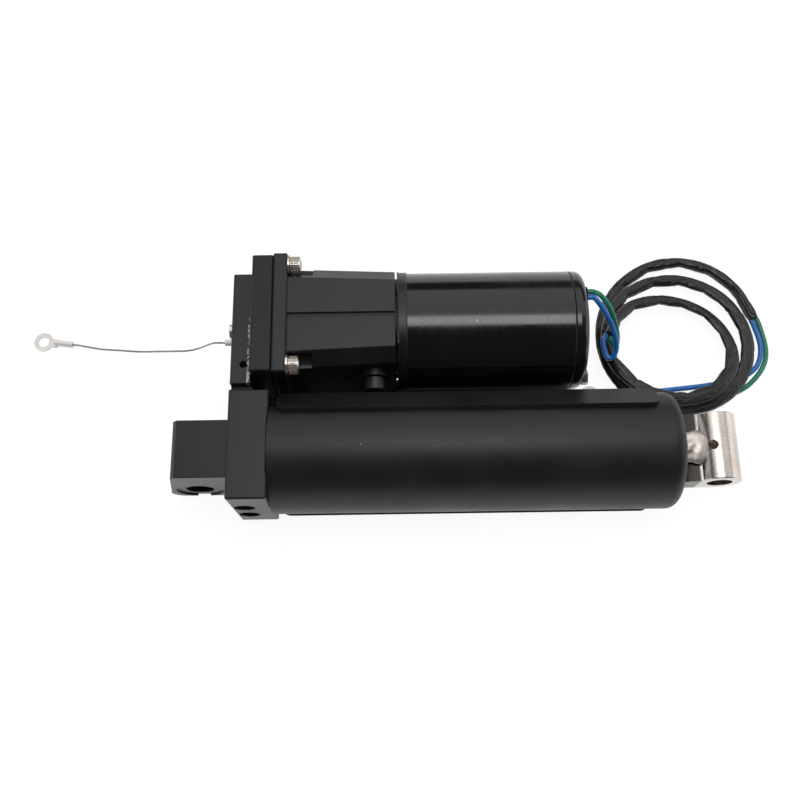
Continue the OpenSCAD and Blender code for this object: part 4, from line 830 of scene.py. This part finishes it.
# Floor, backdrop and lights
stageLook = {
    "floorZ": -0.0197,
    "floorSize": 8.0,
    "floorColour": "#6e6e6e",
    "ownLight": 0.9,  # how much of the floor's white is its own, so that a soft shadow stays
    "paintedShadowSpan": ((0.03, 0.226), (-0.012, 0.1)),  # painted shadow: the floor loses its own light below the unit, x and y
    "paintedShadowSoft": 0.007,
    "fill": 0.5,  # even light on matt surfaces
    "surround": 0.1,  # what gloss sees where no panel stands, a little warm
    "surroundColour": "#ffe9e0",
    # panels farther out along x than sideFrom face this place, the others face down
    "aim": (0.12, 0.04, 0.0),
    "sideFrom": 1.0,
    # name: place, size x, size y, watts
    "panels": {
        "topPanel": ((0.5, 1.32, 1.0), 1.93, 2.2, 15.3),
        "edgePanel": ((0.2, 0.07, 1.0), 0.5, 0.3, 2.7),
        "rightPanel": ((1.75, 0.3, 0.45), 1.4, 0.9, 5.1),
        "leftPanel": ((-1.25, 0.3, 0.5), 1.4, 0.95, 2.7),
    },
}


def makeStage(look):
    half = look["floorSize"] / 2
    z = look["floorZ"]
    corners = [(-half, -half, z), (half, -half, z), (half, half, z), (-half, half, z)]
    floor = meshObject("floor", corners, [(0, 1, 2, 3)], smooth=False)
    material = bpy.data.materials.new("mattWhitePaper")
    material.use_nodes = True
    tree = material.node_tree
    tree.nodes.clear()
    paper = addNode(tree, "ShaderNodeBsdfDiffuse", {"Color": linear(look["floorColour"])})
    glow = addNode(tree, "ShaderNodeEmission", {"Color": (1, 1, 1, 1),
                                                "Strength": look["ownLight"]})
    none = addNode(tree, "ShaderNodeEmission", {"Strength": 0.0})
    rays = addNode(tree, "ShaderNodeLightPath").outputs
    seen = rays["Is Camera Ray"]
    for kind in ("Is Glossy Ray", "Is Transmission Ray"):
        seen = addNode(tree, "ShaderNodeMath", {0: seen, 1: rays[kind]},
                       operation="MAXIMUM").outputs[0]
    place = addNode(tree, "ShaderNodeTexCoord").outputs["Object"]
    axes = addNode(tree, "ShaderNodeSeparateXYZ", {"Vector": place}).outputs
    # painted shadow: the floor's own white is taken away in a soft rectangle below the unit
    paintedShadowMask = spanMask(tree, axes, look["paintedShadowSpan"], look["paintedShadowSoft"])
    outsidePaintedShadow = addNode(tree, "ShaderNodeMath", {0: 1.0, 1: paintedShadowMask}, operation="SUBTRACT")
    lit = addNode(tree, "ShaderNodeMath", {0: seen, 1: outsidePaintedShadow.outputs[0]}, operation="MULTIPLY")
    shown = addNode(tree, "ShaderNodeMixShader", {0: lit.outputs[0], 1: none.outputs[0],
                                                  2: glow.outputs[0]})
    total = addNode(tree, "ShaderNodeAddShader", {0: paper.outputs[0], 1: shown.outputs[0]})
    addNode(tree, "ShaderNodeOutputMaterial", {"Surface": total.outputs[0]})
    floor.data.materials.append(material)

    world = bpy.data.worlds.new("studio")
    bpy.context.scene.world = world
    world.use_nodes = True
    tree = world.node_tree
    tree.nodes.clear()
    rays = addNode(tree, "ShaderNodeLightPath").outputs
    direct = addNode(tree, "ShaderNodeMath", {0: rays["Is Camera Ray"],
                                              1: rays["Is Transmission Ray"]},
                     operation="MAXIMUM")
    even = addNode(tree, "ShaderNodeBackground", {"Color": (1, 1, 1, 1), "Strength": look["fill"]})
    dim = addNode(tree, "ShaderNodeBackground", {"Color": linear(look["surroundColour"]),
                                                 "Strength": look["surround"]})
    white = addNode(tree, "ShaderNodeBackground", {"Color": (1, 1, 1, 1), "Strength": 1.0})
    lit = addNode(tree, "ShaderNodeMixShader", {0: rays["Is Glossy Ray"], 1: even.outputs[0],
                                                2: dim.outputs[0]})
    full = addNode(tree, "ShaderNodeMixShader", {0: direct.outputs[0], 1: lit.outputs[0],
                                                 2: white.outputs[0]})
    addNode(tree, "ShaderNodeOutputWorld", {"Surface": full.outputs[0]})

    for name, (place, sizeX, sizeY, watts) in look["panels"].items():
        data = bpy.data.lights.new(name, "AREA")
        data.shape, data.size, data.size_y, data.energy = "RECTANGLE", sizeX, sizeY, watts
        lamp = bpy.data.objects.new(name, data)
        back = Vector((0, 0, 1))
        if abs(place[0]) > look["sideFrom"]:
            back = (Vector(place) - Vector(look["aim"])).normalized()
        side = Vector((1, 0, 0)) if abs(back.x) < 0.7 else Vector((0, 1, 0))
        up = back.cross(side).normalized()
        turn = Matrix((up.cross(back), up, back)).transposed().to_4x4()
        lamp.matrix_world = Matrix.Translation(Vector(place)) @ turn
        lamp.visible_camera = False
        bpy.context.scene.collection.objects.link(lamp)
    bpy.context.scene.view_settings.view_transform = "Standard"


makeStage(stageLook)
print("stage: floor and lights ready")
